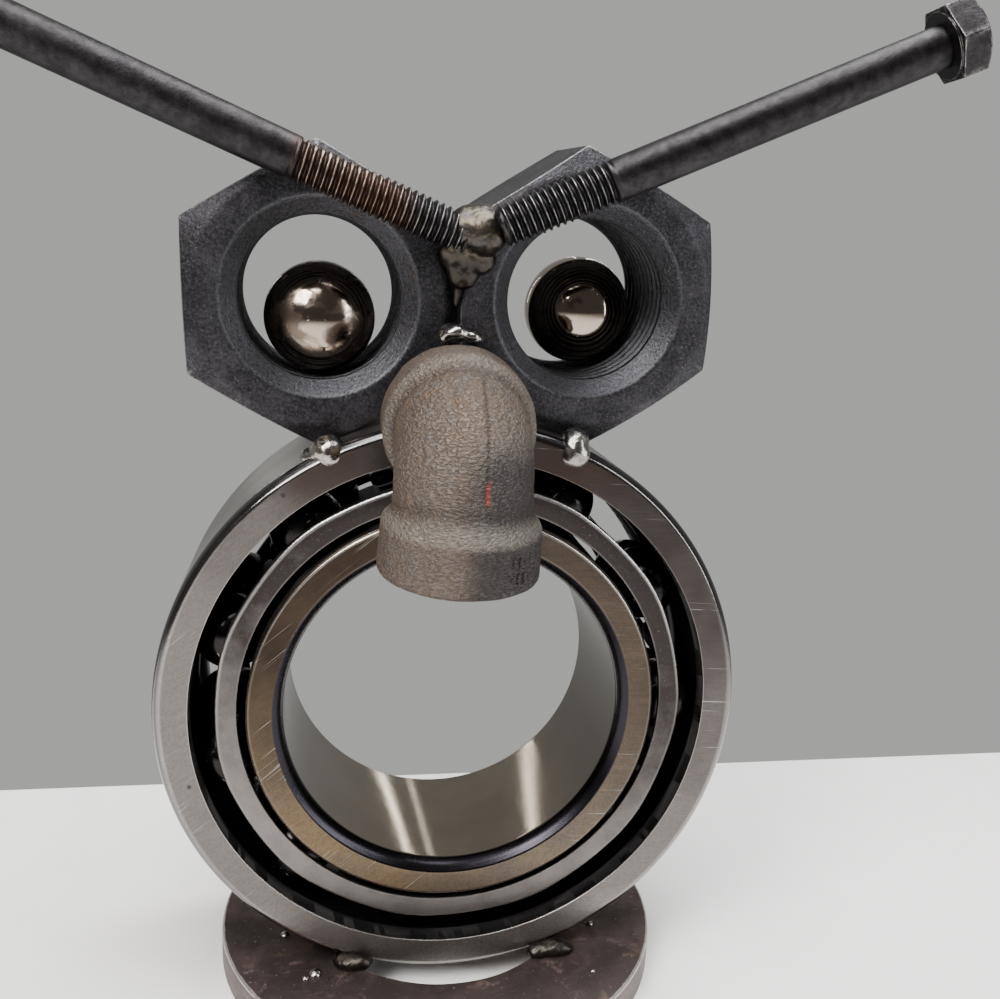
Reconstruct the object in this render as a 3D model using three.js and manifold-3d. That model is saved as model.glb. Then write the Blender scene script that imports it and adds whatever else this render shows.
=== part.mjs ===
// Owl welded from machine parts: a ball bearing for a body, two hexagon nuts
// for eyes, a pipe elbow for a beak and two bolts for horns, on a flat washer.
// Millimetres, +Z up. The owl looks along -Y and X runs to the right of the
// viewer. The modelling frame has its zero under the centre of the washer, and
// the finished group is moved to stand over the middle of its own bounding box.
import * as THREE from "three";
import { mergeVertices } from "three/addons/utils/BufferGeometryUtils.js";
import Module from "manifold-3d";

// Gap left between pieces that touch
const gap = 0.3;

// Base washer
const washer = { radius: 53, hole: 30.5, thickness: 8, edge: 0.9 };

// Ball bearing, its axis along Y. The balls fill the space between the rings and
// sink into both of them, and the rings are wide enough for two rows.
const bearing = {
  bore: 37.5,
  innerWall: 7.94,
  raceSpace: 11.92,
  outerWall: 7.64,
  sink: 2.44,
  raceClearance: 0.7,
  rowGap: 1.7,
  shoulder: 3,
  outerChamfer: 1.5,
  innerChamfer: 0.6,
  frontBoreChamfer: [2.97, 2.17],
  backBoreChamfer: [1.17, 0.9],
  ballCount: 11,
};
bearing.innerLand = bearing.bore + bearing.innerWall;
bearing.outerLand = bearing.innerLand + bearing.raceSpace;
bearing.outside = bearing.outerLand + bearing.outerWall;
bearing.pitch = (bearing.innerLand + bearing.outerLand) / 2;
bearing.ball = bearing.raceSpace / 2 + bearing.sink;
bearing.groove = bearing.ball + bearing.raceClearance;
bearing.row = bearing.ball + bearing.rowGap / 2;
bearing.half = bearing.row + bearing.ball + bearing.shoulder;

// Height of the bearing's axis: its rims rest on the edge of the washer's hole
const restHalfChord = Math.sqrt(washer.hole ** 2 - bearing.half ** 2);
const axisHeight =
  washer.thickness + gap + Math.sqrt(bearing.outside ** 2 - restHalfChord ** 2);

// Ball cages: a thin plate with a finger between each two balls
const cage = {
  innerGap: 1.86,
  outerGap: 4.76,
  recess: 1.4,
  plate: 1.1,
  reach: 14,
  fingerWidth: 6,
  fingerInset: 0.8,
};
cage.inner = bearing.innerLand + cage.innerGap;
cage.outer = bearing.outerLand - cage.outerGap;

// Hexagon nuts. They stand side by side on the bearing, a flat of each facing a
// flat of the other across the seam, with their backs near the bearing's back.
const nut = { flats: 55, thickness: 34.2, bore: 17, sink: 3.5, bevelInset: 1.5 };
nut.countersink = nut.bore + nut.sink;
nut.bevel = nut.flats / 2 - nut.bevelInset;
const seam = { x: -1.735, halfGap: 0.615 };
const eyeRadius = 12;
const eyes = {
  left: { side: -1, seat: 1.25, back: 0.34, pitch: 1.13, yaw: 1.28, roll: -1.49, depth: 13.7, lean: 0 },
  right: { side: 1, seat: 1.48, back: -1.5, pitch: 2.96, yaw: 1.56, roll: -3.1, depth: 21.7, lean: 35 },
};
for (const eye of Object.values(eyes)) {
  const x = seam.x + eye.side * (nut.flats / 2 + seam.halfGap);
  const rise = bearing.outside + nut.flats / 2 + eye.seat;
  eye.at = [x, bearing.half - nut.thickness + eye.back, axisHeight + Math.sqrt(rise ** 2 - x ** 2)];
}

// Pipe elbow: one socket points down, the other back at the bearing
const elbow = {
  bend: 13.32,
  bandLength: 10.96,
  passage: 7.4,
  wall: 5.8,
  bandStep: 2.05,
  bandFlare: 0.25,
  bandRound: 0.75,
  socketStep: 1.2,
  mouthFlare: 1.2,
  shoulder: 2,
  tilt: 4.5,
  yaw: -1.2,
  roll: 2.1,
  standOff: 1.47,
  below: 0.9,
  aside: -1,
};
elbow.reach = elbow.bend + elbow.bandLength;
elbow.body = elbow.passage + elbow.wall;
elbow.band = elbow.body + elbow.bandStep;
elbow.socket = elbow.passage + elbow.socketStep;
elbow.socketMouth = elbow.socket + elbow.mouthFlare;
elbow.at = [
  seam.x + elbow.aside,
  -(bearing.half + elbow.standOff + elbow.reach),
  axisHeight + bearing.outside - elbow.below,
];
// The bend runs this far into each band, so that the pieces join
const bendSlack = 0.2;

// Bolts: their tips are given from the crown, the point on the seam that is level
// with the nuts' fronts and with the middle of their flats
const bolt = { radius: 4.3, threadDepth: 0.6, head: 6, headFlats: 14.3, faceInset: 0.45, tipBevel: 1 };
bolt.root = bolt.radius - bolt.threadDepth;
bolt.washerFace = bolt.headFlats / 2 - bolt.faceInset;
const crown = [seam.x, bearing.half - nut.thickness, axisHeight + bearing.outside + nut.flats / 2];
const horns = {
  left: { side: -1, tip: [1.86, 0.53, 9.52], length: 100.33, rise: 21.35, sweep: 2.87, thread: 38, turn: 12 },
  right: { side: 1, tip: [7.37, -3.02, 11.81], length: 95.85, rise: 24.11, sweep: 4.01, thread: 25, turn: 4 },
};
for (const horn of Object.values(horns)) {
  const [x, y, z] = horn.tip;
  const rise = (horn.rise * Math.PI) / 180;
  const sweep = (horn.sweep * Math.PI) / 180;
  const level = horn.length * Math.cos(rise);
  horn.start = [crown[0] + x, crown[1] - bolt.radius + y, crown[2] + z];
  horn.end = [
    horn.start[0] + horn.side * level * Math.cos(sweep),
    horn.start[1] - level * Math.sin(sweep),
    horn.start[2] + horn.length * Math.sin(rise),
  ];
}

// Places that the weld beads are laid on
const ringTop = (x) => axisHeight + Math.sqrt(bearing.outside ** 2 - x ** 2);
const corner = (eye) => [eye.at[0], -bearing.half, ringTop(eye.at[0])];
const joints = {
  weld_horns: crown,
  weld_beak: [elbow.at[0], -bearing.half, elbow.at[2] + elbow.band],
  weld_nut_left: corner(eyes.left),
  weld_nut_right: corner(eyes.right),
  weld_base_left: [-restHalfChord, -bearing.half, washer.thickness],
  weld_base_right: [restHalfChord, -bearing.half, washer.thickness],
};

// Weld beads: groups of rounded lumps as [x, y, z, half sizes along x, y, z], their
// places given from the joint
const beads = {
  weld_horns: [
    [3.33, -4.25, 11.6, 6.6, 4.4, 4.9],
    [4.94, -6.65, 10.4, 3.6, 3.2, 3.9],
    [-0.86, -3.05, 7.2, 3.6, 3.2, 4.2],
    [0.94, -2.65, 2.8, 3.2, 2.6, 3.4],
    [3.94, -3.65, 5.4, 3.4, 2.6, 3],
    [-0.06, -1.35, -1.2, 1, 1.3, 3.6],
  ],
  weld_beak: [
    [0.13, 2.25, 3.95, 3.2, 3.6, 1.9],
    [3.83, 2.65, 3.15, 2.6, 3.4, 1.7],
    [-1.86, 2.85, 2.75, 1.6, 2.8, 1.3],
  ],
  weld_nut_left: [
    [1.85, 3.25, -0.04, 3.7, 4.1, 3.7],
    [-1.55, 4.85, -1.44, 2.6, 2.8, 2],
  ],
  weld_nut_right: [
    [-1.98, 3.25, 0.69, 3.1, 4, 3.7],
    [-2.38, 1.05, -1.31, 3.3, 2.2, 2.8],
  ],
  weld_base_left: [
    [1.45, -1.75, 0.9, 3.9, 2.5, 1.9],
    [-1.75, -0.55, 0.9, 2.2, 2.3, 1.6],
  ],
  weld_base_right: [
    [2.75, -1.55, 1, 4.9, 2.4, 2],
    [-1.05, -1.95, 0.6, 2.4, 2, 1.7],
  ],
};

const wasm = await Module();
wasm.setup();

const degrees = THREE.MathUtils.degToRad;

// Facets around each kind of round
const facets = { ring: 40, washer: 44, cage: 33, nut: 30, bore: 28, elbow: 18, bolt: 16, groove: 3 };

// A closed solid from a three.js geometry, with every face turned outward
function solid(geometry) {
  const bare = new THREE.BufferGeometry();
  bare.setAttribute("position", geometry.getAttribute("position").clone());
  if (geometry.index) bare.setIndex(geometry.index.clone());
  const merged = mergeVertices(bare, 1e-4);
  const points = merged.getAttribute("position").array;
  const corners = [];
  let volume = 0;
  const a = new THREE.Vector3();
  const b = new THREE.Vector3();
  const c = new THREE.Vector3();
  for (let i = 0; i < merged.index.count; i += 3) {
    const [p, q, r] = [0, 1, 2].map((k) => merged.index.getX(i + k));
    if (p === q || q === r || r === p) continue;
    corners.push(p, q, r);
    a.fromArray(points, 3 * p);
    b.fromArray(points, 3 * q);
    c.fromArray(points, 3 * r);
    volume += a.dot(b.cross(c));
  }
  if (volume < 0) {
    for (let i = 0; i < corners.length; i += 3) {
      [corners[i], corners[i + 1]] = [corners[i + 1], corners[i]];
    }
  }
  const mesh = new wasm.Mesh({
    numProp: 3,
    vertProperties: Float32Array.from(points),
    triVerts: Uint32Array.from(corners),
  });
  return new wasm.Manifold(mesh);
}

// A profile of [radius, height] points turned about the Y axis. A profile that
// doesn't start and end on the axis is closed into a ring.
function turned(profile, segments) {
  const points = profile.map(([r, h]) => new THREE.Vector2(Math.max(r, 0), h));
  const onAxis = profile[0][0] === 0 && profile[profile.length - 1][0] === 0;
  if (!onAxis) points.push(points[0].clone());
  return new THREE.LatheGeometry(points, segments);
}

// A turned solid pointing up the Z axis instead of the Y axis
function upright(profile, segments) {
  return turned(profile, segments).rotateX(Math.PI / 2);
}

// Points on an arc of a groove, from one angle to another, in degrees
function arc(centreRadius, centreHeight, radius, from, to, steps) {
  return Array.from({ length: steps + 1 }, (_, i) => {
    const t = degrees(from + ((to - from) * i) / steps);
    return [centreRadius + radius * Math.cos(t), centreHeight + radius * Math.sin(t)];
  });
}

// Matrix that lays a geometry built along Y onto the line from one point on
function along(from, to, turn = 0) {
  const start = new THREE.Vector3(...from);
  const direction = new THREE.Vector3(...to).sub(start).normalize();
  const aim = new THREE.Quaternion().setFromUnitVectors(new THREE.Vector3(0, 1, 0), direction);
  const spin = new THREE.Quaternion().setFromAxisAngle(new THREE.Vector3(0, 1, 0), degrees(turn));
  return new THREE.Matrix4().compose(start, aim.multiply(spin), new THREE.Vector3(1, 1, 1));
}

// Washer, or the space around it that a neighbour keeps clear of
function washerSolid(grow = 0) {
  const { radius, hole, thickness, edge } = washer;
  const r = radius + grow;
  const h = hole - grow;
  const t = thickness + grow;
  return solid(
    upright(
      [
        [h + edge, -grow],
        [r - edge, -grow],
        [r, edge - grow],
        [r, t - edge],
        [r - edge, t],
        [h + edge * 0.6, t],
        [h, t - edge * 0.6],
        [h, edge - grow],
      ],
      facets.washer,
    ),
  );
}

function outerRing() {
  const { outside, half, outerLand, outerChamfer, pitch, groove, row } = bearing;
  const open = (Math.acos((outerLand - pitch) / groove) * 180) / Math.PI;
  return solid(
    turned(
      [
        [outerLand, -half],
        ...arc(pitch, -row, groove, -open, open, facets.groove),
        ...arc(pitch, row, groove, -open, open, facets.groove),
        [outerLand, half],
        [outside - outerChamfer, half],
        [outside, half - outerChamfer],
        [outside, outerChamfer - half],
        [outside - outerChamfer, -half],
      ],
      facets.ring,
    ).translate(0, 0, axisHeight),
  );
}

function innerRing() {
  const { bore, half, innerLand, innerChamfer, pitch, groove, row } = bearing;
  const [frontDepth, frontRise] = bearing.frontBoreChamfer;
  const [backDepth, backRise] = bearing.backBoreChamfer;
  const open = (Math.acos((pitch - innerLand) / groove) * 180) / Math.PI;
  return solid(
    turned(
      [
        [bore + frontRise, -half],
        [innerLand - innerChamfer, -half],
        [innerLand, innerChamfer - half],
        ...arc(pitch, -row, groove, 180 + open, 180 - open, facets.groove),
        ...arc(pitch, row, groove, 180 + open, 180 - open, facets.groove),
        [innerLand, half - innerChamfer],
        [innerLand - innerChamfer, half],
        [bore + backRise, half],
        [bore, half - backDepth],
        [bore, frontDepth - half],
      ],
      facets.ring,
    ).translate(0, 0, axisHeight),
  );
}

// A cage for the row of balls on one side: -1 is the front, 1 the back
function ballCage(side, turn) {
  const { inner, outer, recess, plate, reach, fingerWidth, fingerInset } = cage;
  const face = bearing.half - recess;
  let body = solid(
    turned(
      [
        [inner, side * face],
        [outer, side * face],
        [outer, side * (face - plate)],
        [inner, side * (face - plate)],
      ],
      facets.cage,
    ),
  );
  const thickness = outer - inner - 2 * fingerInset;
  for (let i = 0; i < bearing.ballCount; i += 1) {
    const finger = new THREE.BoxGeometry(fingerWidth, reach, thickness);
    finger.translate(0, side * (face - plate / 2 - reach / 2), (inner + outer) / 2);
    finger.rotateY(((i + 0.5) / bearing.ballCount) * 2 * Math.PI + turn);
    body = body.add(solid(finger));
  }
  return body.translate([0, 0, axisHeight]);
}

function bearingBall(side, index, turn) {
  const angle = (index / bearing.ballCount) * 2 * Math.PI + turn;
  const ball = new THREE.SphereGeometry(bearing.ball, 8, 4);
  ball.translate(
    bearing.pitch * Math.sin(angle),
    side * bearing.row,
    bearing.pitch * Math.cos(angle) + axisHeight,
  );
  return solid(ball);
}

// Places something built in a nut's own frame: front face at zero, axis along Y
function inNutFrame(geometry, { at, pitch, yaw, roll }) {
  return geometry
    .rotateY(degrees(roll))
    .rotateX(degrees(pitch))
    .rotateZ(degrees(yaw))
    .translate(...at);
}

// Hexagonal prism with a corner on top, both faces bevelled at 30 degrees
function nutBlank(eye, grow = 0) {
  const corner = (nut.flats / 2 + grow) / Math.cos(Math.PI / 6);
  const length = nut.thickness + 2 * grow;
  const prism = new THREE.CylinderGeometry(corner, corner, length, 6);
  prism.translate(0, nut.thickness / 2, 0);
  const depth = (corner + 1 - nut.bevel) * Math.tan(Math.PI / 6);
  const back = nut.thickness + grow;
  const limit = turned(
    [
      [0, -grow],
      [nut.bevel + grow, -grow],
      [corner + 1, depth - grow],
      [corner + 1, back - depth],
      [nut.bevel + grow, back],
      [0, back],
    ],
    facets.nut,
  );
  return solid(inNutFrame(prism, eye)).intersect(solid(inNutFrame(limit, eye)));
}

function nutSolid(eye) {
  const { sink, thickness: t } = nut;
  const hole = turned(
    [
      [0, -1],
      [nut.countersink + 1, -1],
      [nut.bore, sink],
      [nut.bore, t - sink],
      [nut.countersink + 1, t + 1],
      [0, t + 1],
    ],
    facets.bore,
  );
  // The lowest corner is ground to sit on the bearing
  return nutBlank(eye).subtract(solid(inNutFrame(hole, eye))).subtract(ringSpace());
}

// The ball that rests in a nut's bore
function eyeBall(eye) {
  const drop = nut.bore - eyeRadius - gap;
  const lean = degrees(eye.lean);
  const ball = new THREE.SphereGeometry(eyeRadius, 16, 10);
  ball.rotateX(Math.PI / 2);
  ball.translate(drop * Math.sin(lean), eye.depth, -drop * Math.cos(lean));
  return solid(inNutFrame(ball, eye));
}

// Places something built in the elbow's own frame: sockets along -Z and +Y
function inElbowFrame(geometry) {
  return geometry
    .rotateX(degrees(elbow.tilt))
    .rotateZ(degrees(elbow.yaw))
    .rotateY(degrees(elbow.roll))
    .translate(...elbow.at);
}

// Both bands and the quarter bend between them
function elbowBody(grow = 0) {
  const { reach, bend: start, body, shoulder, bandFlare, bandRound } = elbow;
  const band = elbow.band + grow;
  const profile = [
    [0, start - shoulder],
    [body + grow, start - shoulder],
    [band, start + bandRound],
    [band + bandFlare, reach - bandRound],
    [band + bandFlare - bandRound, reach + grow],
    [0, reach + grow],
  ];
  const back = solid(inElbowFrame(turned(profile, facets.elbow)));
  const down = solid(inElbowFrame(turned(profile, facets.elbow).rotateX(-Math.PI / 2)));
  const bend = bendGeometry(start + bendSlack, body + grow);
  return back.add(down).add(solid(inElbowFrame(bend)));
}

// A closed quarter bend of round section from the socket below to the one behind
function bendGeometry(centreLine, radius) {
  const steps = 6;
  const around = facets.elbow;
  const positions = [];
  const index = [];
  for (let i = 0; i <= steps; i += 1) {
    const t = ((i / steps) * Math.PI) / 2;
    for (let j = 0; j < around; j += 1) {
      const s = (j / around) * 2 * Math.PI;
      const arm = centreLine + Math.min(radius, centreLine - 0.05) * Math.cos(s);
      positions.push(radius * Math.sin(s), centreLine - arm * Math.cos(t), arm * Math.sin(t) - centreLine);
    }
  }
  for (let i = 0; i < steps; i += 1) {
    for (let j = 0; j < around; j += 1) {
      const k = (j + 1) % around;
      const a = i * around + j;
      const b = i * around + k;
      index.push(a, b, a + around, b, b + around, a + around);
    }
  }
  const last = steps * around;
  for (let j = 1; j < around - 1; j += 1) {
    index.push(0, j + 1, j);
    index.push(last, last + j, last + j + 1);
  }
  const bend = new THREE.BufferGeometry();
  bend.setAttribute("position", new THREE.Float32BufferAttribute(positions, 3));
  bend.setIndex(index);
  return bend;
}

function elbowSolid() {
  const { reach, bend: start, socket, socketMouth, passage, socketStep, mouthFlare } = elbow;
  const channel = [
    [0, start - bendSlack],
    [passage, start - bendSlack],
    [socket, start - bendSlack + socketStep],
    [socket, reach - mouthFlare],
    [socketMouth, reach],
    [socketMouth, reach + 2],
    [0, reach + 2],
  ];
  const back = solid(inElbowFrame(turned(channel, facets.elbow)));
  const down = solid(inElbowFrame(turned(channel, facets.elbow).rotateX(-Math.PI / 2)));
  const knee = solid(inElbowFrame(bendGeometry(start + bendSlack, passage)));
  return elbowBody().subtract(back.add(down).add(knee));
}

// Bolt with a hexagon head; the threaded length starts behind a short relief
function boltSolid({ start, end, length, thread, turn }) {
  const { radius, root, threadDepth, head, headFlats, washerFace, faceInset, tipBevel } = bolt;
  const shank = turned(
    [
      [0, 0],
      [radius - tipBevel, 0],
      [radius, tipBevel],
      [radius, thread - 2 * threadDepth],
      [root, thread - threadDepth],
      [root, thread],
      [radius, thread + threadDepth],
      [radius, length - faceInset],
      [washerFace, length - faceInset],
      [washerFace, length + 0.5],
      [0, length + 0.5],
    ],
    facets.bolt,
  );
  const corner = headFlats / 2 / Math.cos(Math.PI / 6);
  const prism = new THREE.CylinderGeometry(corner, corner, head, 6);
  prism.translate(0, length + head / 2, 0);
  const dome = turned(
    [
      [0, length - 1],
      [corner + 1, length - 1],
      [corner + 1, length + head - (corner + 1 - washerFace) * 0.5],
      [washerFace, length + head],
      [0, length + head],
    ],
    facets.bolt,
  );
  const place = along(start, end, turn);
  const top = solid(prism.applyMatrix4(place)).intersect(solid(dome.applyMatrix4(place)));
  // The tip is melted back where it meets the edges of the nuts
  return top
    .add(solid(shank.applyMatrix4(place)))
    .subtract(nutBlank(eyes.left, gap))
    .subtract(nutBlank(eyes.right, gap));
}

// Space around a bolt's shank that a weld bead keeps clear of
function boltSpace({ start, end, length }) {
  const r = bolt.radius + gap;
  const rod = turned([[0, -gap], [r, -gap], [r, length], [0, length]], facets.bolt);
  return solid(rod.applyMatrix4(along(start, end)));
}

// Space around the bearing's outside that a nut or a weld bead keeps clear of
function ringSpace() {
  const r = bearing.outside + gap;
  const h = bearing.half + gap;
  const c = bearing.outerChamfer;
  const drum = turned([[0, -h], [r - c, -h], [r, c - h], [r, h - c], [r - c, h], [0, h]], 60);
  return solid(drum.translate(0, 0, axisHeight));
}

// Lumps of a bead joined, then cut back from every solid they are melted onto
function beadSolid([atX, atY, atZ], lumps, spaces) {
  let bead = null;
  lumps.forEach(([x, y, z, a, b, c], i) => {
    const lump = new THREE.SphereGeometry(1, 8, 5);
    lump.rotateX(0.4 * i);
    lump.scale(a, b, c);
    lump.translate(atX + x, atY + y, atZ + z);
    bead = bead ? bead.add(solid(lump)) : solid(lump);
  });
  spaces.forEach((space) => {
    bead = bead.subtract(space);
  });
  // Only the largest piece is kept if the cuts leave crumbs
  const pieces = bead.decompose();
  pieces.sort((p, q) => q.volume() - p.volume());
  return pieces[0];
}

// Paint and metal values by slot
const finishes = {
  black_oxide_nut: { color: 0x34353c, roughness: 0.5, metalness: 0.8 },
  dark_washer: { color: 0x3a3230, roughness: 0.55, metalness: 0.8 },
  ring_steel: { color: 0x6a625f, roughness: 0.35, metalness: 0.95 },
  race_steel: { color: 0x76695c, roughness: 0.35, metalness: 0.95 },
  cage_steel: { color: 0x77726f, roughness: 0.4, metalness: 0.9 },
  ball_steel: { color: 0x8e8580, roughness: 0.12, metalness: 1 },
  forged_iron: { color: 0x6f6153, roughness: 0.75, metalness: 0.45 },
  bolt_steel: { color: 0x3d3c40, roughness: 0.42, metalness: 0.85 },
  weld_metal: { color: 0x8d8983, roughness: 0.28, metalness: 1 },
};

const group = new THREE.Group();
group.name = "owl";

function put(name, shape, finish) {
  const data = shape.getMesh();
  const geometry = new THREE.BufferGeometry();
  geometry.setAttribute("position", new THREE.Float32BufferAttribute(data.vertProperties, 3));
  geometry.setIndex(new THREE.Uint32BufferAttribute(data.triVerts, 1));
  geometry.computeVertexNormals();
  const material = new THREE.MeshStandardMaterial(finishes[finish]);
  material.name = finish;
  const mesh = new THREE.Mesh(geometry, material);
  mesh.name = name;
  group.add(mesh);
}

// Body on its base
put("base_washer", washerSolid(), "dark_washer");
put("outer_ring", outerRing(), "ring_steel");
put("inner_ring", innerRing(), "race_steel");
const rows = { front: { side: -1, turn: 0.46 }, back: { side: 1, turn: 0.54 } };
for (const [row, { side, turn }] of Object.entries(rows)) {
  put(`cage_${row}`, ballCage(side, turn), "cage_steel");
  for (let i = 0; i < bearing.ballCount; i += 1) {
    put(`ball_${row}_${String(i + 1).padStart(2, "0")}`, bearingBall(side, i, turn), "ball_steel");
  }
}

// Eyes, beak and horns
for (const [side, eye] of Object.entries(eyes)) {
  put(`${side}_nut`, nutSolid(eye), "black_oxide_nut");
  put(`${side}_eye`, eyeBall(eye), "ball_steel");
}
put("beak_elbow", elbowSolid(), "forged_iron");
for (const [side, horn] of Object.entries(horns)) {
  put(`${side}_bolt`, boltSolid(horn), "bolt_steel");
}

// Weld beads
const spaces = [
  nutBlank(eyes.left, gap),
  nutBlank(eyes.right, gap),
  boltSpace(horns.left),
  boltSpace(horns.right),
  ringSpace(),
  washerSolid(gap),
  elbowBody(gap),
];
for (const [name, lumps] of Object.entries(beads)) {
  put(name, beadSolid(joints[name], lumps, spaces), "weld_metal");
}

// Stand the group over the middle of its bounding box
const box = new THREE.Box3().setFromObject(group);
const middle = box.getCenter(new THREE.Vector3());
for (const mesh of group.children) {
  mesh.geometry.translate(-middle.x, -middle.y, -box.min.z);
}

export default group;
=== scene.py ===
"""Looks of a small owl welded from a bearing, nuts, bolts, a pipe elbow and a washer.

The classes hold their sizes in millimetres in the workshop frame: zero under the
centre of the washer, +Z up, the owl looking along -Y. Bench.metres() turns points
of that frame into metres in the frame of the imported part. The finishes read
millimetres in the part's own frame.
"""

import logging
import math
from dataclasses import dataclass, field
from enum import Enum

import bmesh
import bpy
import numpy as np
from mathutils import Matrix, Vector


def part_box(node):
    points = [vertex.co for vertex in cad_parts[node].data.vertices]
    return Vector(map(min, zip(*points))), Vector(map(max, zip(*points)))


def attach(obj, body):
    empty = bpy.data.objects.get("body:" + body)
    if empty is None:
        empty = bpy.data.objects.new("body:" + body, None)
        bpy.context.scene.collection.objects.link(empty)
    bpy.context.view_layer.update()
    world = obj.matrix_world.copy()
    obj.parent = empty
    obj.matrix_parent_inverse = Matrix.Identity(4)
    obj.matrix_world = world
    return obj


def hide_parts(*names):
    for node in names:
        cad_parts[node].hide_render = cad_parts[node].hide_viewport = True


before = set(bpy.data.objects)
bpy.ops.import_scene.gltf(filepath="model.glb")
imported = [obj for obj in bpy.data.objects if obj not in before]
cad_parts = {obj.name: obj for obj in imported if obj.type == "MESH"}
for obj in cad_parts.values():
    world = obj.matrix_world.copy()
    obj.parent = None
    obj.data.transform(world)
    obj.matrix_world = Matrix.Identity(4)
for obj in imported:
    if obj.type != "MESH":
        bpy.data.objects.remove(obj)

LOG = logging.getLogger("owl")
MM = 0.001
TAU = 2 * math.pi
Array = np.ndarray
Colour = tuple[float, float, float]
Point = tuple[float, float, float]
Span = tuple[float, float]


class Side(Enum):
    """The viewer's left or right."""

    LEFT = -1
    RIGHT = 1


class Row(Enum):
    """A row of balls in the bearing, and the side of the bearing it is on."""

    FRONT = -1
    BACK = 1


# Shader nodes


class Shader:
    """Builds the nodes of one material, or of the world, from expressions."""

    def __init__(self, owner: bpy.types.Material | bpy.types.World) -> None:
        """Starts with an empty node tree.

        Args:
            owner: The new material or world.
        """
        self.owner = owner
        owner.use_nodes = True
        self.tree = owner.node_tree
        self.tree.nodes.clear()

    def node(self, kind: str, settings: dict, inputs: dict) -> bpy.types.Node:
        """Adds a node, sets it up and joins its sockets.

        Args:
            kind: The node's type.
            settings: Properties of the node; "stops" fills a colour ramp.
            inputs: Socket name or number, and its value or Wire.

        Returns:
            The new node.
        """
        made = self.tree.nodes.new(kind)
        for key, value in settings.items():
            if key == "stops":
                ramp = made.color_ramp
                while len(ramp.elements) < len(value):
                    ramp.elements.new(0.5)
                for element, (place, colour) in zip(ramp.elements, value):
                    element.position = place
                    element.color = (*colour, 1.0)
            else:
                setattr(made, key, value)
        for key, value in inputs.items():
            if isinstance(value, Wire):
                self.tree.links.new(value.socket, made.inputs[key])
            elif made.inputs[key].type == "RGBA" and len(value) == 3:
                made.inputs[key].default_value = (*value, 1.0)
            else:
                made.inputs[key].default_value = value
        return made

    def wire(self, kind: str, settings: dict, inputs: dict, output: str | int = 0) -> "Wire":
        """Adds a node and returns one of its outputs."""
        return Wire(self, self.node(kind, settings, inputs).outputs[output])

    def math(self, operation: str, *values: "Wire | float") -> "Wire":
        """Adds a Math node for the given values."""
        return self.wire("ShaderNodeMath", {"operation": operation}, dict(enumerate(values)))

    def coords(
        self,
        centre: Point = (0.0, 0.0, 0.0),
        turn: Point = (0.0, 0.0, 0.0),
        stretch: Point = (1.0, 1.0, 1.0),
    ) -> "Wire":
        """Object coordinates in millimetres, centred, turned and stretched.

        Args:
            centre: The point that becomes zero, in millimetres in the part's frame.
            turn: Angles in degrees that the pattern is turned by.
            stretch: How many times longer the pattern is along each turned axis.

        Returns:
            The vector output.
        """
        place = self.wire("ShaderNodeTexCoord", {}, {}, "Object")
        return self.wire(
            "ShaderNodeMapping",
            {"vector_type": "TEXTURE"},
            {
                "Vector": place,
                "Location": tuple(c * MM for c in centre),
                "Rotation": tuple(math.radians(t) for t in turn),
                "Scale": tuple(s * MM for s in stretch),
            },
        )

    def mark(self, name: str) -> "Wire":
        """A value stored at the points of the mesh."""
        settings = {"attribute_type": "GEOMETRY", "attribute_name": name}
        return self.wire("ShaderNodeAttribute", settings, {}, "Fac")

    def noise(
        self, at: "Wire", size: float, detail: float = 3.0, rough: float = 0.55, warp: float = 0.0
    ) -> "Wire":
        """Cloudy noise from 0 to 1.

        Args:
            at: Coordinates in millimetres.
            size: Width of one cloud in millimetres.
            detail: Octaves of finer noise.
            rough: Strength of the finer noise.
            warp: How far the pattern is twisted.

        Returns:
            The noise value.
        """
        inputs = {"Scale": 1.0 / size, "Detail": detail, "Roughness": rough, "Distortion": warp}
        return self.wire("ShaderNodeTexNoise", {"noise_dimensions": "3D"}, {"Vector": at, **inputs})

    def lines(self, along: "Wire", size: float, detail: float) -> "Wire":
        """Noise over one value, such as turning marks along a profile."""
        inputs = {"W": along, "Scale": 1.0 / size, "Detail": detail, "Roughness": 0.65}
        return self.wire("ShaderNodeTexNoise", {"noise_dimensions": "1D"}, inputs)

    def step(self, value: "Wire", low: float, high: float) -> "Wire":
        """Rises smoothly from 0 at low to 1 at high, or falls if low is the larger.

        Args:
            value: The value.
            low: Where the step is 0.
            high: Where the step is 1.

        Returns:
            3 t^2 - 2 t^3 for the share t of the way from low to high.
        """
        inputs = {"Value": value, "From Min": low, "From Max": high}
        if low > high:
            inputs = {"Value": value, "From Min": high, "From Max": low, "To Min": 1.0, "To Max": 0.0}
        return self.wire("ShaderNodeMapRange", {"interpolation_type": "SMOOTHSTEP"}, inputs)

    def ramp(self, value: "Wire", stops: list[tuple[float, Colour]]) -> "Wire":
        """A colour that runs through the given stops."""
        return self.wire("ShaderNodeValToRGB", {"stops": stops}, {"Fac": value})

    def mix(self, share: "Wire | float", a: "Wire | Colour", b: "Wire | Colour", how: str = "MIX") -> "Wire":
        """Mixes colour b over colour a by a share from 0 to 1."""
        settings = {"data_type": "RGBA", "blend_type": how, "clamp_factor": True}
        return self.wire("ShaderNodeMix", settings, {0: share, 6: a, 7: b}, 2)

    def split(self, vector: "Wire") -> tuple["Wire", "Wire", "Wire"]:
        """The three components of a vector."""
        made = self.node("ShaderNodeSeparateXYZ", {}, {0: vector})
        return tuple(Wire(self, made.outputs[i]) for i in range(3))

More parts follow.
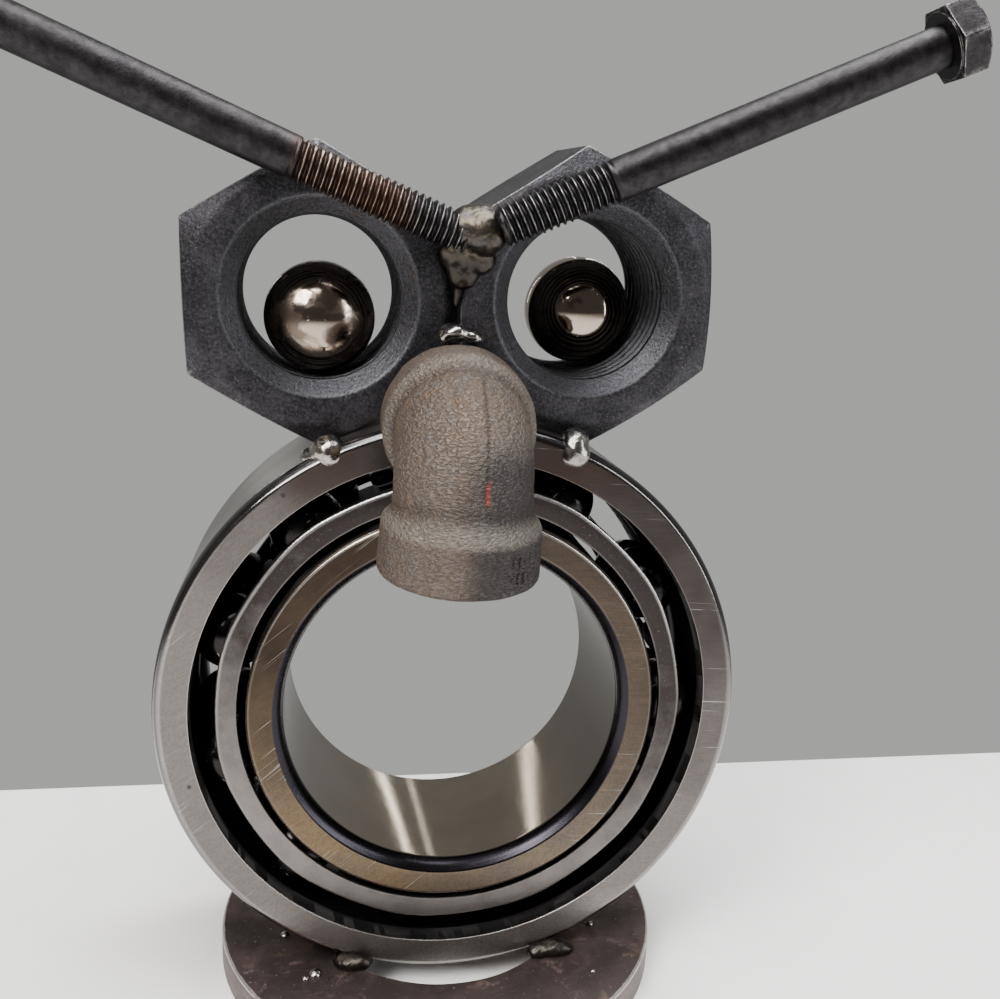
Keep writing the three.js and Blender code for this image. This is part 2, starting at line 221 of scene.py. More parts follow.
    def spot(self, centre: Point, radius: float, soft: float) -> "Wire":
        """A round spot: 1 inside the radius round a point, 0 beyond radius + soft.

        Args:
            centre: The point, in millimetres in the part's frame.
            radius: Radius of the spot.
            soft: Width of its soft edge.

        Returns:
            The spot's strength.
        """
        x, y, z = self.split(self.coords(centre))
        away = self.math("SQRT", x * x + y * y + z * z)
        return self.step(away, radius + soft, radius)

    def bump(self, height: "Wire", distance: float, under: "Wire | None" = None) -> "Wire":
        """A normal that looks like relief.

        Args:
            height: The relief, from 0 to 1.
            distance: How many millimetres high 1 is.
            under: A normal that this relief lies on.

        Returns:
            The normal.
        """
        inputs = {"Height": height, "Distance": distance * MM, "Strength": 1.0}
        if under is not None:
            inputs["Normal"] = under
        return self.wire("ShaderNodeBump", {}, inputs)

    def finish(
        self, colour: "Wire", rough: "Wire | float", metal: "Wire | float", relief: "Wire"
    ) -> bpy.types.Material:
        """Adds the surface shader and the output.

        Args:
            colour: Base colour.
            rough: Roughness.
            metal: 1 for bare metal, 0 for anything else.
            relief: The normal.

        Returns:
            The finished material.
        """
        sockets = {"Base Color": colour, "Roughness": rough, "Metallic": metal, "Normal": relief}
        surface = self.wire("ShaderNodeBsdfPrincipled", {}, sockets)
        self.node("ShaderNodeOutputMaterial", {}, {"Surface": surface})
        return self.owner


class Wire:
    """An output socket whose arithmetic adds Math nodes."""

    def __init__(self, shader: Shader, socket: bpy.types.NodeSocket) -> None:
        """Wraps a socket of a shader's node tree."""
        self.shader = shader
        self.socket = socket

    def __add__(self, other: "Wire | float") -> "Wire":
        """self + other."""
        return self.shader.math("ADD", self, other)

    __radd__ = __add__

    def __mul__(self, other: "Wire | float") -> "Wire":
        """self * other."""
        return self.shader.math("MULTIPLY", self, other)

    __rmul__ = __mul__

    def __sub__(self, other: "Wire | float") -> "Wire":
        """self - other."""
        return self.shader.math("SUBTRACT", self, other)

    def __rsub__(self, other: float) -> "Wire":
        """other - self."""
        return self.shader.math("SUBTRACT", other, self)

    def capped(self) -> "Wire":
        """self held between 0 and 1."""
        return self.shader.wire("ShaderNodeClamp", {}, {"Value": self})


# Finishes


@dataclass(frozen=True)
class BlackOxide:
    """Hot-blackened nut: satin dark skin, specks, turned faces and worn edges."""

    name: str = "black_oxide"
    dark: Colour = (0.021, 0.020, 0.023)
    light: Colour = (0.046, 0.044, 0.050)
    machined: Colour = (0.060, 0.060, 0.067)
    worn: Colour = (0.30, 0.30, 0.305)
    rust: Colour = (0.060, 0.038, 0.028)
    grain_top: Colour = (0.130, 0.124, 0.126)
    grain_pit: Colour = (0.008, 0.007, 0.008)

    def material(self) -> bpy.types.Material:
        """Builds the material.

        Returns:
            The finished material.
        """
        s = Shader(bpy.data.materials.new(self.name))
        at = s.coords()
        cloud = s.noise(at, 9.0, 4.0, 0.6)
        grain = s.noise(at, 0.5, 4.0, 0.7)
        sand = s.noise(at, 0.62, 3.0, 0.65)
        specks = s.step(s.noise(at, 0.42, 2.0, 0.5), 0.64, 0.76)
        turning = s.lines(s.mark("run"), 0.35, 4.0)
        machined = s.mark("machined")
        colour = s.mix(s.step(cloud, 0.3, 0.75), self.dark, self.light)
        colour = s.mix(machined * (0.55 + turning * 0.5), colour, self.machined)
        colour = s.mix(s.step(s.noise(at, 3.2, 3.0), 0.62, 0.75) * 0.35, colour, self.rust)
        colour = s.mix(s.step(sand, 0.50, 0.66) * 0.20, colour, self.grain_top)
        colour = s.mix(s.step(sand, 0.50, 0.34) * 0.50, colour, self.grain_pit)
        colour = s.mix(specks * 0.30, colour, self.worn)
        edge = s.step(s.mark("wear") * (0.35 + s.noise(at, 2.2, 4.0, 0.7)), 0.5, 1.2)
        colour = s.mix(edge * 0.8, colour, self.worn)
        rough = 0.46 + (grain - 0.5) * 0.35 - edge * 0.15 - machined * 0.05
        relief = s.bump(turning, 0.02, s.bump(grain * 0.5 + sand + specks * 0.4, 0.13))
        return s.finish(colour, rough, 0.92, relief)


@dataclass(frozen=True)
class Grind:
    """Grinding marks on one half of a ring: fine lines, and scratches in patches.

    Turns are in degrees, widths in millimetres; a length says how many times longer
    than wide the marks are.
    """

    turn: float
    scratch_turn: float
    scratch_seen: Span = (0.74, 0.82)
    patch: float = 11.0
    patch_seen: Span = (0.5, 0.6)
    width: float = 0.22
    length: float = 26.0
    scratch_width: float = 0.26
    scratch_length: float = 90.0
    centre: Point = (0.0, 0.0, 69.0)

    def marks(self, s: Shader, at: Wire) -> tuple[Wire, Wire]:
        """Draws the marks.

        Args:
            s: The ring's shader.
            at: Its coordinates in millimetres.

        Returns:
            The fine lines and the scratches, each from 0 to 1.
        """
        along = s.coords(self.centre, (0, self.turn, 0), (self.length, 1.0, 1.0))
        far = s.coords(self.centre, (0, self.scratch_turn, 0), (self.scratch_length, 1.0, 1.0))
        scratch = s.step(s.noise(far, self.scratch_width, 0.0), *self.scratch_seen)
        patch = s.step(s.noise(at, self.patch, 2.0), *self.patch_seen)
        return s.noise(along, self.width, 3.0, 0.6), scratch * patch


def ground(s: Shader, at: Wire, to_right: Wire, left: Grind, right: Grind) -> tuple[Wire, Wire]:
    """Grinding marks of a whole ring, which lean differently on its two halves.

    Args:
        s: The ring's shader.
        at: Its coordinates in millimetres.
        to_right: 0 on the left half and 1 on the right one.
        left: The left half's marks.
        right: The right half's marks.

    Returns:
        The fine lines and the scratches, each from 0 to 1.
    """
    halves = zip(left.marks(s, at), right.marks(s, at))
    fine, scratch = (a * (1 - to_right) + b * to_right for a, b in halves)
    return fine, scratch


@dataclass(frozen=True)
class GroundSteel:
    """Outer ring: brushed faces, darker and browner up high as painted shade, lighter low down as painted
    light, tracks inside darkened with grease and painted shade.
    """

    name: str = "ring_face"
    face: Colour = (0.186, 0.169, 0.159)
    # Painted shade up high on the faces; also the fine specks.
    tint: Colour = (0.050, 0.041, 0.039)
    barrel: Colour = (0.26, 0.245, 0.235)
    # Painted light low on the ring, and lighter cloudy patches on the outer wall.
    painted_light_and_rubbed: Colour = (0.46, 0.435, 0.41)
    band: Colour = (0.115, 0.113, 0.118)
    scorch: Colour = (0.060, 0.040, 0.030)
    lines: Colour = (0.10, 0.09, 0.09)
    edge: Colour = (0.50, 0.485, 0.47)
    oily: Colour = (0.012, 0.011, 0.012)
    left: Grind = Grind(-33.0, -39.0, patch=14.0, patch_seen=(0.5, 0.62))
    right: Grind = Grind(2.0, 3.0)
    middle: Span = (-12.0, 14.0)
    high: Span = (58.0, 142.0)
    # Heights where the painted light low on the ring fades in.
    foot: Span = (26.0, 9.0)
    left_weld: Point = (-29.8, -16.9, 127.2)
    right_weld: Point = (26.4, -16.9, 128.8)
    low_dent: Point = (-57.3, -16.9, 53.6)
    high_dent: Point = (-37.1, -16.9, 118.5)

    def material(self) -> bpy.types.Material:
        """Builds the material.

        Returns:
            The finished material.
        """
        s = Shader(bpy.data.materials.new(self.name))
        at = s.coords()
        x, _, z = s.split(at)
        fine, scratch = ground(s, at, s.step(x, *self.middle), self.left, self.right)
        barrel, mouth = s.mark("barrel"), s.mark("mouth")
        turning = s.lines(s.mark("run"), 0.5, 4.0)
        cloud = s.noise(at, 16.0, 4.0, 0.55)
        # Painted shade: the faces darken and turn browner up high and to the right, with cloudy variation.
        high = s.step(z + x * 0.6, *self.high)
        colour = s.mix((high * 0.95 + (cloud - 0.5) * 0.7).capped(), self.face, self.tint)
        # Painted light: the ring is lighter towards its bottom.
        colour = s.mix(s.step(z, *self.foot) * 0.95, colour, self.painted_light_and_rubbed)
        scorched = s.spot(self.left_weld, 4.0, 11.0) + s.spot(self.right_weld, 4.0, 12.0)
        colour = s.mix(scorched.capped() * (0.35 + cloud * 0.6), colour, self.scorch)
        colour = s.mix(barrel, colour, s.mix(s.step(cloud, 0.3, 0.7), self.barrel, self.painted_light_and_rubbed))
        colour = s.mix(mouth * 0.9, colour, self.band)
        colour = s.mix((fine - 0.5) * 0.5 + 0.25, colour, self.lines, "MULTIPLY")
        colour = s.mix(s.step(s.noise(at, 0.45, 3.0, 0.7), 0.42, 0.62) * 0.24, colour, self.tint)
        colour = s.mix(scratch * (1 - barrel) * 0.5, colour, self.edge)
        edge = (s.mark("wear") * (0.55 + s.noise(at, 3.0, 3.0) * 0.7)).capped()
        # Worn edges, faded up high where the painted shade lies.
        colour = s.mix(edge * (1 - high * 0.75) * 0.6, colour, self.edge)
        pits = s.spot(self.low_dent, 0.35, 0.25) + s.spot(self.high_dent, 0.35, 0.25)
        pits = (pits + s.step(s.noise(at, 0.8, 1.0), 0.79, 0.82) * 0.6).capped()
        # Grease and painted shade on the tracks, and dark pits.
        grease_shade_share = s.math("MAXIMUM", s.mark("oily"), pits * 0.85)
        colour = s.mix(grease_shade_share, colour, self.oily)
        rough = 0.33 + (cloud - 0.5) * 0.16 + (fine - 0.5) * 0.10 - edge * 0.12 - mouth * 0.14
        rough = rough * (1 - grease_shade_share) + grease_shade_share * 0.42
        relief = s.bump(fine * (1 - barrel) + turning * barrel, 0.015)
        relief = s.bump(s.noise(at, 0.35, 2.0), 0.008, relief)
        return s.finish(colour, rough, 1 - grease_shade_share * 0.7, relief)


@dataclass(frozen=True)
class RaceSteel:
    """Inner ring: straw and bronze face that darkens up high as painted shade, painted highlights on its
    upper edges, dark mouth of the bore, brushed bore with painted light on its lower wall.
    """

    name: str = "race_face"
    straw: Colour = (0.190, 0.140, 0.086)
    # Bronze tone, darkening the face up high as painted shade; also the fine specks.
    bronze: Colour = (0.035, 0.026, 0.020)
    grey: Colour = (0.160, 0.136, 0.112)
    bore: Colour = (0.185, 0.165, 0.140)
    # Painted light on the lower wall of the bore.
    bore_low: Colour = (0.31, 0.265, 0.215)
    mouth: Colour = (0.026, 0.024, 0.029)
    lines: Colour = (0.12, 0.10, 0.08)
    edge: Colour = (0.52, 0.49, 0.45)
    oily: Colour = (0.012, 0.011, 0.012)
    left: Grind = Grind(-33.0, -40.0, (0.70, 0.80), 13.0, (0.40, 0.55))
    right: Grind = Grind(2.0, 3.0, width=0.2)
    middle: Span = (-12.0, 14.0)
    high: Span = (26.0, 78.0)
    low_wall: Span = (58.0, 36.0)
    # Heights where the painted highlight on the edges grows.
    edge_highlight: Span = (78.0, 106.0)

    def material(self) -> bpy.types.Material:
        """Builds the material.

        Returns:
            The finished material.
        """
        s = Shader(bpy.data.materials.new(self.name))
        at = s.coords()
        x, _, z = s.split(at)
        to_right = s.step(x, *self.middle)
        fine, scratch = ground(s, at, to_right, self.left, self.right)
        bore, mouth, grease_shade_share = s.mark("barrel"), s.mark("mouth"), s.mark("oily")
        turning = s.lines(s.mark("run"), 0.4, 4.0)
        cloud = s.noise(at, 13.0, 4.0, 0.55)
        high = s.step(z + x * 0.1, *self.high)
        colour = s.mix((s.step(cloud, 0.4, 0.66) * 0.35 + to_right * 0.65).capped(), self.straw, self.grey)
        # Painted shade: bronze and darker up high, less so on the right half, with cloudy variation.
        colour = s.mix((high * (0.92 - to_right * 0.27) + (cloud - 0.5) * 0.5).capped(), colour, self.bronze)
        colour = s.mix((fine - 0.5) * 0.6 + 0.25, colour, self.lines, "MULTIPLY")
        colour = s.mix(s.step(s.noise(at, 0.45, 3.0, 0.7), 0.42, 0.62) * 0.30, colour, self.bronze)
        colour = s.mix(scratch * 0.5, colour, self.edge)
        # Painted light: the lower wall of the bore is lighter.
        wall = s.mix(s.step(z, *self.low_wall), self.bore, self.bore_low)
        colour = s.mix(bore, colour, s.mix(s.step(cloud, 0.3, 0.7) * 0.3, wall, self.grey))
        edge = (s.mark("wear") * (0.5 + s.noise(at, 3.0, 3.0) * 0.7)).capped() * (1 - mouth)
        # Worn edges, with a painted highlight on the upper edges.
        colour = s.mix(edge * (0.08 + s.step(z, *self.edge_highlight) * 0.8), colour, self.edge)
        colour = s.mix(mouth, colour, self.mouth)
        # Grease and painted shade on the tracks.
        colour = s.mix(grease_shade_share, colour, self.oily)
        rough = 0.34 + (cloud - 0.5) * 0.14 + (fine - 0.5) * 0.10 - mouth * 0.08 - edge * 0.1
        rough = (rough - bore * 0.25 + bore * (turning - 0.5) * 0.05) * (1 - grease_shade_share) + grease_shade_share * 0.42
        relief = s.bump(fine * (1 - bore) + turning * bore * 0.2, 0.015)
        relief = s.bump(s.noise(at, 0.35, 2.0), 0.008, relief)
        return s.finish(colour, rough, 1 - grease_shade_share * 0.7, relief)


@dataclass(frozen=True)
class CageSteel:
    """Pressed cage: satin tumbled skin, darker up high as painted shade, a worn rim with a painted highlight
    up high, grease and painted shade in the depth.
    """

    name: str = "cage_satin"
    skin: Colour = (0.188, 0.174, 0.165)
    # Painted shade up high, and dark grain.
    painted_shade_and_grain: Colour = (0.036, 0.030, 0.029)
    rim: Colour = (0.62, 0.61, 0.59)
    oily: Colour = (0.010, 0.010, 0.011)
    high: Span = (22.0, 100.0)
    # Heights where the painted highlight on the rim grows.
    rim_highlight: Span = (62.0, 104.0)

    def material(self) -> bpy.types.Material:
        """Builds the material.

        Returns:
            The finished material.
        """
        s = Shader(bpy.data.materials.new(self.name))
        at = s.coords()
        x, _, z = s.split(at)
        cloud = s.noise(at, 8.0, 4.0, 0.6)
        grain = s.noise(at, 0.4, 3.0, 0.65)
        grease_shade_share = s.mark("oily")
        # Painted shade: the skin darkens up high and to the right, with cloudy variation.
        high = s.step(z + x * 0.3, *self.high)
        colour = s.mix(((cloud - 0.45) * 1.1 + high * 1.05).capped(), self.skin, self.painted_shade_and_grain)
        colour = s.mix(s.step(grain, 0.62, 0.74) * 0.16, colour, self.rim)
        colour = s.mix(s.step(grain, 0.42, 0.26) * 0.4, colour, self.painted_shade_and_grain)
        rim = (s.mark("wear") * (0.4 + s.noise(at, 4.0, 3.0) * 0.9)).capped()
        # Painted highlight on the worn rim, growing up high.
        rim = rim * (0.2 + s.step(z, *self.rim_highlight) * 0.8)
        colour = s.mix(rim * 0.8, colour, self.rim)
        # Grease and painted shade deep in the bearing.
        colour = s.mix(grease_shade_share, colour, self.oily)
        rough = (0.42 + (grain - 0.5) * 0.2 - rim * 0.14) * (1 - grease_shade_share) + grease_shade_share * 0.4
        return s.finish(colour, rough, 1 - grease_shade_share * 0.7, s.bump(grain, 0.05, s.bump(cloud, 0.12)))


@dataclass(frozen=True)
class Polished:
    """Hardened ball: mirror polish with a warm tint, hairlines and smudges."""

    name: str
    tint: Colour
    smudge: Colour
    gloss: float = 0.07
    haze: float = 0.75
    hairline: Colour = (0.75, 0.72, 0.68)
    oily: Colour = (0.035, 0.031, 0.030)

    def material(self) -> bpy.types.Material:
        """Builds the material.

        Returns:
            The finished material.
        """
        s = Shader(bpy.data.materials.new(self.name))
        at = s.coords()
        cloud = s.noise(at, 7.0, 4.0, 0.6, 0.6)
        hair = s.coords(turn=(25, -38, 10), stretch=(22.0, 1.0, 1.0))
        back = s.coords(turn=(-20, 44, 30), stretch=(18.0, 1.0, 1.0))
        hairs = s.step(s.noise(hair, 0.42, 1.0), 0.71, 0.77) + s.step(s.noise(back, 0.5, 1.0), 0.72, 0.78)
        hairs = (hairs * s.step(s.noise(at, 5.0, 2.0), 0.45, 0.6)).capped()
        dirt_and_shade = s.step(cloud, 0.64 - self.haze * 0.25, 0.74 - self.haze * 0.12)
        grease_shade_share = s.mark("oily")
        colour = s.mix(dirt_and_shade * 0.8, self.tint, self.smudge)
        colour = s.mix(hairs * 0.7, colour, self.hairline)
        # Grease and painted shade where the mesh is marked, as on the back half of a pupil.
        colour = s.mix(grease_shade_share, colour, self.oily)
        rough = self.gloss + dirt_and_shade * 0.28 * self.haze + hairs * 0.22
        rough = rough + s.noise(at, 0.7, 3.0) * 0.04 + grease_shade_share * 0.35
        relief = s.bump(hairs + s.noise(at, 2.4, 3.0) * 0.4, 0.015)
        return s.finish(colour, rough, 1 - grease_shade_share * 0.8, relief)


@dataclass(frozen=True)
class ForgedIron:
    """Forged elbow: pebbled scale, brown and grey, rust tint, a dash of red paint."""

    name: str = "forged_scale"
    grey: Colour = (0.093, 0.076, 0.065)
    brown: Colour = (0.100, 0.072, 0.053)
    rust: Colour = (0.125, 0.064, 0.030)
    # Painted shade on the lower right.
    right_shade: Colour = (0.011, 0.0085, 0.0095)
    # Painted highlight on the shoulders.
    painted_light_and_rubbed: Colour = (0.16, 0.14, 0.12)
    # Painted highlights on the pebble crests; also worn edges.
    bright: Colour = (0.30, 0.27, 0.23)
    # Painted shade in the hollows, the pits, the crease, the groove and round the strokes.
    dark: Colour = (0.018, 0.014, 0.012)
    paint: Colour = (0.27, 0.024, 0.020)
    flow: Point = (1.6, 1.6, 0.85)
    rusty_left: Span = (6.0, -14.0)
    rusty_top: Span = (102.0, 132.0)
    # Where the painted shade on the lower right begins, across and downwards.
    shade_right: Span = (-3.5, 6.0)
    shade_below: Span = (139.0, 132.0)

    def material(self) -> bpy.types.Material:
        """Builds the material.

        Returns:
            The finished material.
        """
        s = Shader(bpy.data.materials.new(self.name))
        at = s.coords()
        x, _, z = s.split(at)
        cloud = s.noise(at, 8.0, 5.0, 0.62, 0.3)
        wrinkle = s.step(s.noise(s.coords(stretch=self.flow), 0.52, 2.0, 0.5, 0.3), 0.34, 0.66)
        grain = s.noise(at, 0.42, 4.0, 0.7)
        pebbles = wrinkle + grain * 0.6
        pits = s.step(s.noise(at, 0.9, 3.0, 0.6), 0.34, 0.24)
        colour = s.mix(s.step(cloud, 0.35, 0.68), self.grey, self.brown)
        rusty = s.step(x, *self.rusty_left) * s.step(z, *self.rusty_top)
        stain = s.step(s.noise(at, 3.4, 5.0, 0.7, 0.5), 0.5, 0.72) * (0.25 + rusty * 0.6)
        colour = s.mix(stain, colour, self.rust)
        # Painted shade on the lower right, away from the light.
        low_right = s.step(x + cloud * 9.0, *self.shade_right) * s.step(z + cloud * 4.0, *self.shade_below)
        colour = s.mix(low_right * 0.9, colour, self.right_shade)
        # Painted highlight on the shoulders, where they face up towards the light.
        colour = s.mix(s.mark("shoulder") * (0.35 + cloud * 0.5), colour, self.painted_light_and_rubbed)
        # Painted highlights on the pebble crests, dimmed in the painted shade on the lower right, and painted
        # shade in their hollows and in the pits.
        colour = s.mix(s.step(pebbles, 0.85, 1.35) * (1 - low_right * 0.5) * 0.10, colour, self.bright)
        colour = s.mix(s.step(pebbles, 0.75, 0.30) * 0.30, colour, self.dark)
        colour = s.mix(pits * 0.6, colour, self.dark)
        edge = s.mark("wear") * s.step(s.noise(at, 1.2, 4.0, 0.7), 0.50, 0.68)
        colour = s.mix(edge * 0.12, colour, self.bright)
        # Painted shade in the crease, along the groove and round the strokes.
        colour = s.mix(s.mark("foot") * 0.8, colour, self.dark)
        dash = s.mark("paint") * s.step(s.noise(at, 0.5, 3.0), 0.22, 0.52)
        colour = s.mix(dash * 0.7, colour, self.paint)
        rough = 0.47 + (grain - 0.5) * 0.35 - edge * 0.15
        relief = s.bump(cloud - pits * 0.6, 0.3, s.bump(wrinkle + grain * 0.5, 0.30))
        return s.finish(colour, rough, 0.55 - stain * 0.3, relief)


@dataclass(frozen=True)
class BoltOxide:
    """Dark bolt: oxide on shank and head, worn thread crests, heat colours."""

    name: str = "bolt_oxide"
    dark: Colour = (0.014, 0.013, 0.014)
    light: Colour = (0.035, 0.032, 0.034)
    pit: Colour = (0.008, 0.008, 0.008)
    crest: Colour = (0.23, 0.225, 0.22)
    heat: Colour = (0.34, 0.275, 0.20)
    char: Colour = (0.080, 0.036, 0.022)
    worn: Colour = (0.26, 0.25, 0.245)
    heat_starts: Span = (-9.0, -17.0)
    heat_ends: Span = (-37.0, -32.0)
    charred: Span = (-29.0, -20.0)

    def material(self) -> bpy.types.Material:
        """Builds the material.

        Returns:
            The finished material.
        """
        s = Shader(bpy.data.materials.new(self.name))
        at = s.coords()
        cloud = s.noise(at, 2.4, 5.0, 0.65)
        grain = s.noise(at, 0.45, 5.0, 0.72)
        x, _, _ = s.split(at)
        heated = s.step(x, *self.heat_starts) * s.step(x, *self.heat_ends)
        colour = s.mix(s.step(cloud, 0.3, 0.72), self.dark, self.light)
        colour = s.mix(s.step(grain, 0.62, 0.74) * 0.22, colour, self.worn)
        colour = s.mix(s.step(grain, 0.45, 0.30) * 0.5, colour, self.pit)
        colour = s.mix(heated * 0.3, colour, self.char)
        warm = s.mix(heated, self.crest, self.heat)
        crest = s.step(s.mark("crest") * (0.35 + s.noise(at, 1.5, 3.0) * 0.9), 0.5, 1.05)
        colour = s.mix(crest * 0.85, colour, warm)
        colour = s.mix(heated * s.step(x, *self.charred) * 0.3, colour, self.char)
        edge = (s.mark("wear") * s.step(s.noise(at, 1.8, 4.0, 0.7), 0.4, 0.62)).capped()
        colour = s.mix(edge * 0.7, colour, self.worn)
        rough = 0.40 + (grain - 0.5) * 0.22 - crest * 0.12
        return s.finish(colour, rough, 0.95, s.bump(grain, 0.04, s.bump(cloud, 0.10)))


@dataclass(frozen=True)
class WeldMetal:
    """Bright weld: rippled silver with straw, brown and blue heat tints."""

    name: str
    heat: float
    shade: float = 1.0
    silver: Colour = (0.42, 0.41, 0.40)
    straw: Colour = (0.36, 0.27, 0.13)
    brown: Colour = (0.17, 0.12, 0.095)
    blue: Colour = (0.16, 0.17, 0.21)
    soot_and_dark_foot: Colour = (0.030, 0.026, 0.024)

    def material(self) -> bpy.types.Material:
        """Builds the material.

        Returns:
            The finished material.
        """
        s = Shader(bpy.data.materials.new(self.name))
        at = s.coords()
        cloud = s.noise(at, 4.2, 2.0, 0.5, 0.4)
        grain = s.noise(at, 0.5, 4.0, 0.6)
        tones = (self.silver, self.straw, self.brown, self.blue)
        silver, straw, brown, blue = (tuple(c * self.shade for c in tone) for tone in tones)
        stops = [(0.28, silver), (0.40, brown), (0.52, straw), (0.62, brown), (0.72, blue), (0.84, silver)]
        colour = s.mix(self.heat, silver, s.ramp(cloud, stops))
        sooty = s.step(s.noise(at, 2.0, 4.0, 0.7), 0.56, 0.74)
        # Sooty patches, and the lower part of the bead darker by the foot mark.
        colour = s.mix((sooty * 0.6 + s.mark("foot") * 0.8).capped(), colour, self.soot_and_dark_foot)
        ripples = s.lines(s.mark("run"), 0.9, 2.0)
        rough = 0.32 - self.shade * 0.18 + grain * 0.12 + sooty * 0.2
        lumps = s.bump(s.noise(at, 2.6, 1.5, 0.5, 0.6), 0.26)
        return s.finish(colour, rough, 1.0, s.bump(grain * 0.35 + ripples, 0.05, lumps))


@dataclass(frozen=True)
class WasherScale:
    """Hot-rolled washer: dark brown scale, specks, rust bloom, bright worn edge."""

    name: str = "washer_scale"
    dark: Colour = (0.062, 0.047, 0.046)
    brown: Colour = (0.125, 0.094, 0.086)
    grey: Colour = (0.190, 0.157, 0.148)
    rust: Colour = (0.13, 0.065, 0.040)
    worn: Colour = (0.55, 0.52, 0.49)
    # Where the painted light towards the front fades in.
    painted_light_front: Span = (-14.0, -38.0)

    def material(self) -> bpy.types.Material:
        """Builds the material.

        Returns:
            The finished material.
        """
        s = Shader(bpy.data.materials.new(self.name))
        at = s.coords()
        cloud = s.noise(at, 11.0, 5.0, 0.62, 0.4)
        grain = s.noise(at, 0.6, 4.0, 0.65)
        _, y, _ = s.split(at)
        colour = s.mix(s.step(cloud, 0.35, 0.7), self.dark, self.brown)
        # Painted light: lighter grey towards the front.
        colour = s.mix(s.step(y + cloud * 14.0, *self.painted_light_front) * 0.6, colour, self.grey)
        bloom = s.step(s.noise(at, 5.0, 5.0, 0.7, 0.5), 0.56, 0.72)
        colour = s.mix(bloom * 0.5, colour, self.rust)
        specks = s.step(s.noise(at, 0.9, 2.0, 0.5), 0.68, 0.76)
        colour = s.mix(specks * 0.5, colour, self.worn)
        edge = s.step(s.mark("wear") * (0.45 + s.noise(at, 3.5, 4.0, 0.7)), 0.62, 0.92)
        colour = s.mix(edge * 0.8, colour, self.worn)
        rough = 0.46 + (grain - 0.5) * 0.3 - edge * 0.15 + bloom * 0.2
        relief = s.bump(grain + specks * 0.5, 0.07, s.bump(cloud, 0.30))
        return s.finish(colour, rough, 0.85 - bloom * 0.45, relief)


@dataclass(frozen=True)
class Plaster:
    """Matt pale stage surface with a faint grain."""

    name: str
    tone: Colour
    darker: float = 0.94

    def material(self) -> bpy.types.Material:
        """Builds the material.

        Returns:
            The finished material.
        """
        s = Shader(bpy.data.materials.new(self.name))
        cloud = s.noise(s.coords(), 60.0, 4.0, 0.6)
        shade = tuple(c * self.darker for c in self.tone)
        colour = s.mix(s.step(cloud, 0.35, 0.7), self.tone, shade)
        return s.finish(colour, 0.9, 0.0, s.bump(cloud, 0.5))


# Surfaces

CORNER_WEAR = np.array([0, 0.4, 1, 1, 1, 0.4, 0])
CORNER_SHARE = 0.42  # The most of an edge that a rounded corner takes up
HOLD_SHARE = 0.48  # The most of an edge before the further point


@dataclass
class Sheet:
    """A grid of points over two parameters, with values stored at each point."""

    points: Array
    marks: dict[str, Array] = field(default_factory=dict)
    closed_rows: bool = False

    def moved(self, matrix: Matrix) -> "Sheet":
        """The same sheet after a 4x4 move: p' = R p + t."""
        m = np.array(matrix)
        return Sheet(self.points @ m[:3, :3].T + m[:3, 3], self.marks, self.closed_rows)

    def faces(self, first: int) -> Array:
        """Quads between neighbouring rows and columns.

        Args:
            first: Number of the sheet's first point in the whole mesh.

        Returns:
            Four point numbers for each face.
        """
        rows, columns = self.points.shape[:2]
        grid = first + np.arange(rows * columns).reshape(rows, columns)
        if self.closed_rows:
            grid = np.vstack([grid, grid[:1]])
        side = np.roll(grid, -1, axis=1)
        return np.stack([grid[:-1], side[:-1], side[1:], grid[1:]], axis=-1).reshape(-1, 4)


@dataclass
class Profile:
    """A line of (radius, height) points and how worn each is.

    The points have the shape (rows, 2), or (rows, columns, 2) where the profile
    changes round the piece.
    """

    points: Array
    wear: Array

    def __add__(self, other: "Profile") -> "Profile":
        """This profile followed by another.

        Args:
            other: The profile that follows.

        Returns:
            Both as one, with as many columns as the wider of the two.
        """
        a, b = self.points, other.points
        if a.ndim != b.ndim:
            wide = max(a.shape[1:-1] + b.shape[1:-1])
            a, b = (p if p.ndim == 3 else np.repeat(p[:, None], wide, axis=1) for p in (a, b))
        return Profile(np.concatenate([a, b]), np.concatenate([self.wear, other.wear]))


def plain(points: Array, wear: float = 0.0) -> Profile:
    """A profile of points as they are, all equally worn."""
    points = np.asarray(points, float)
    return Profile(points, np.full(len(points), wear))


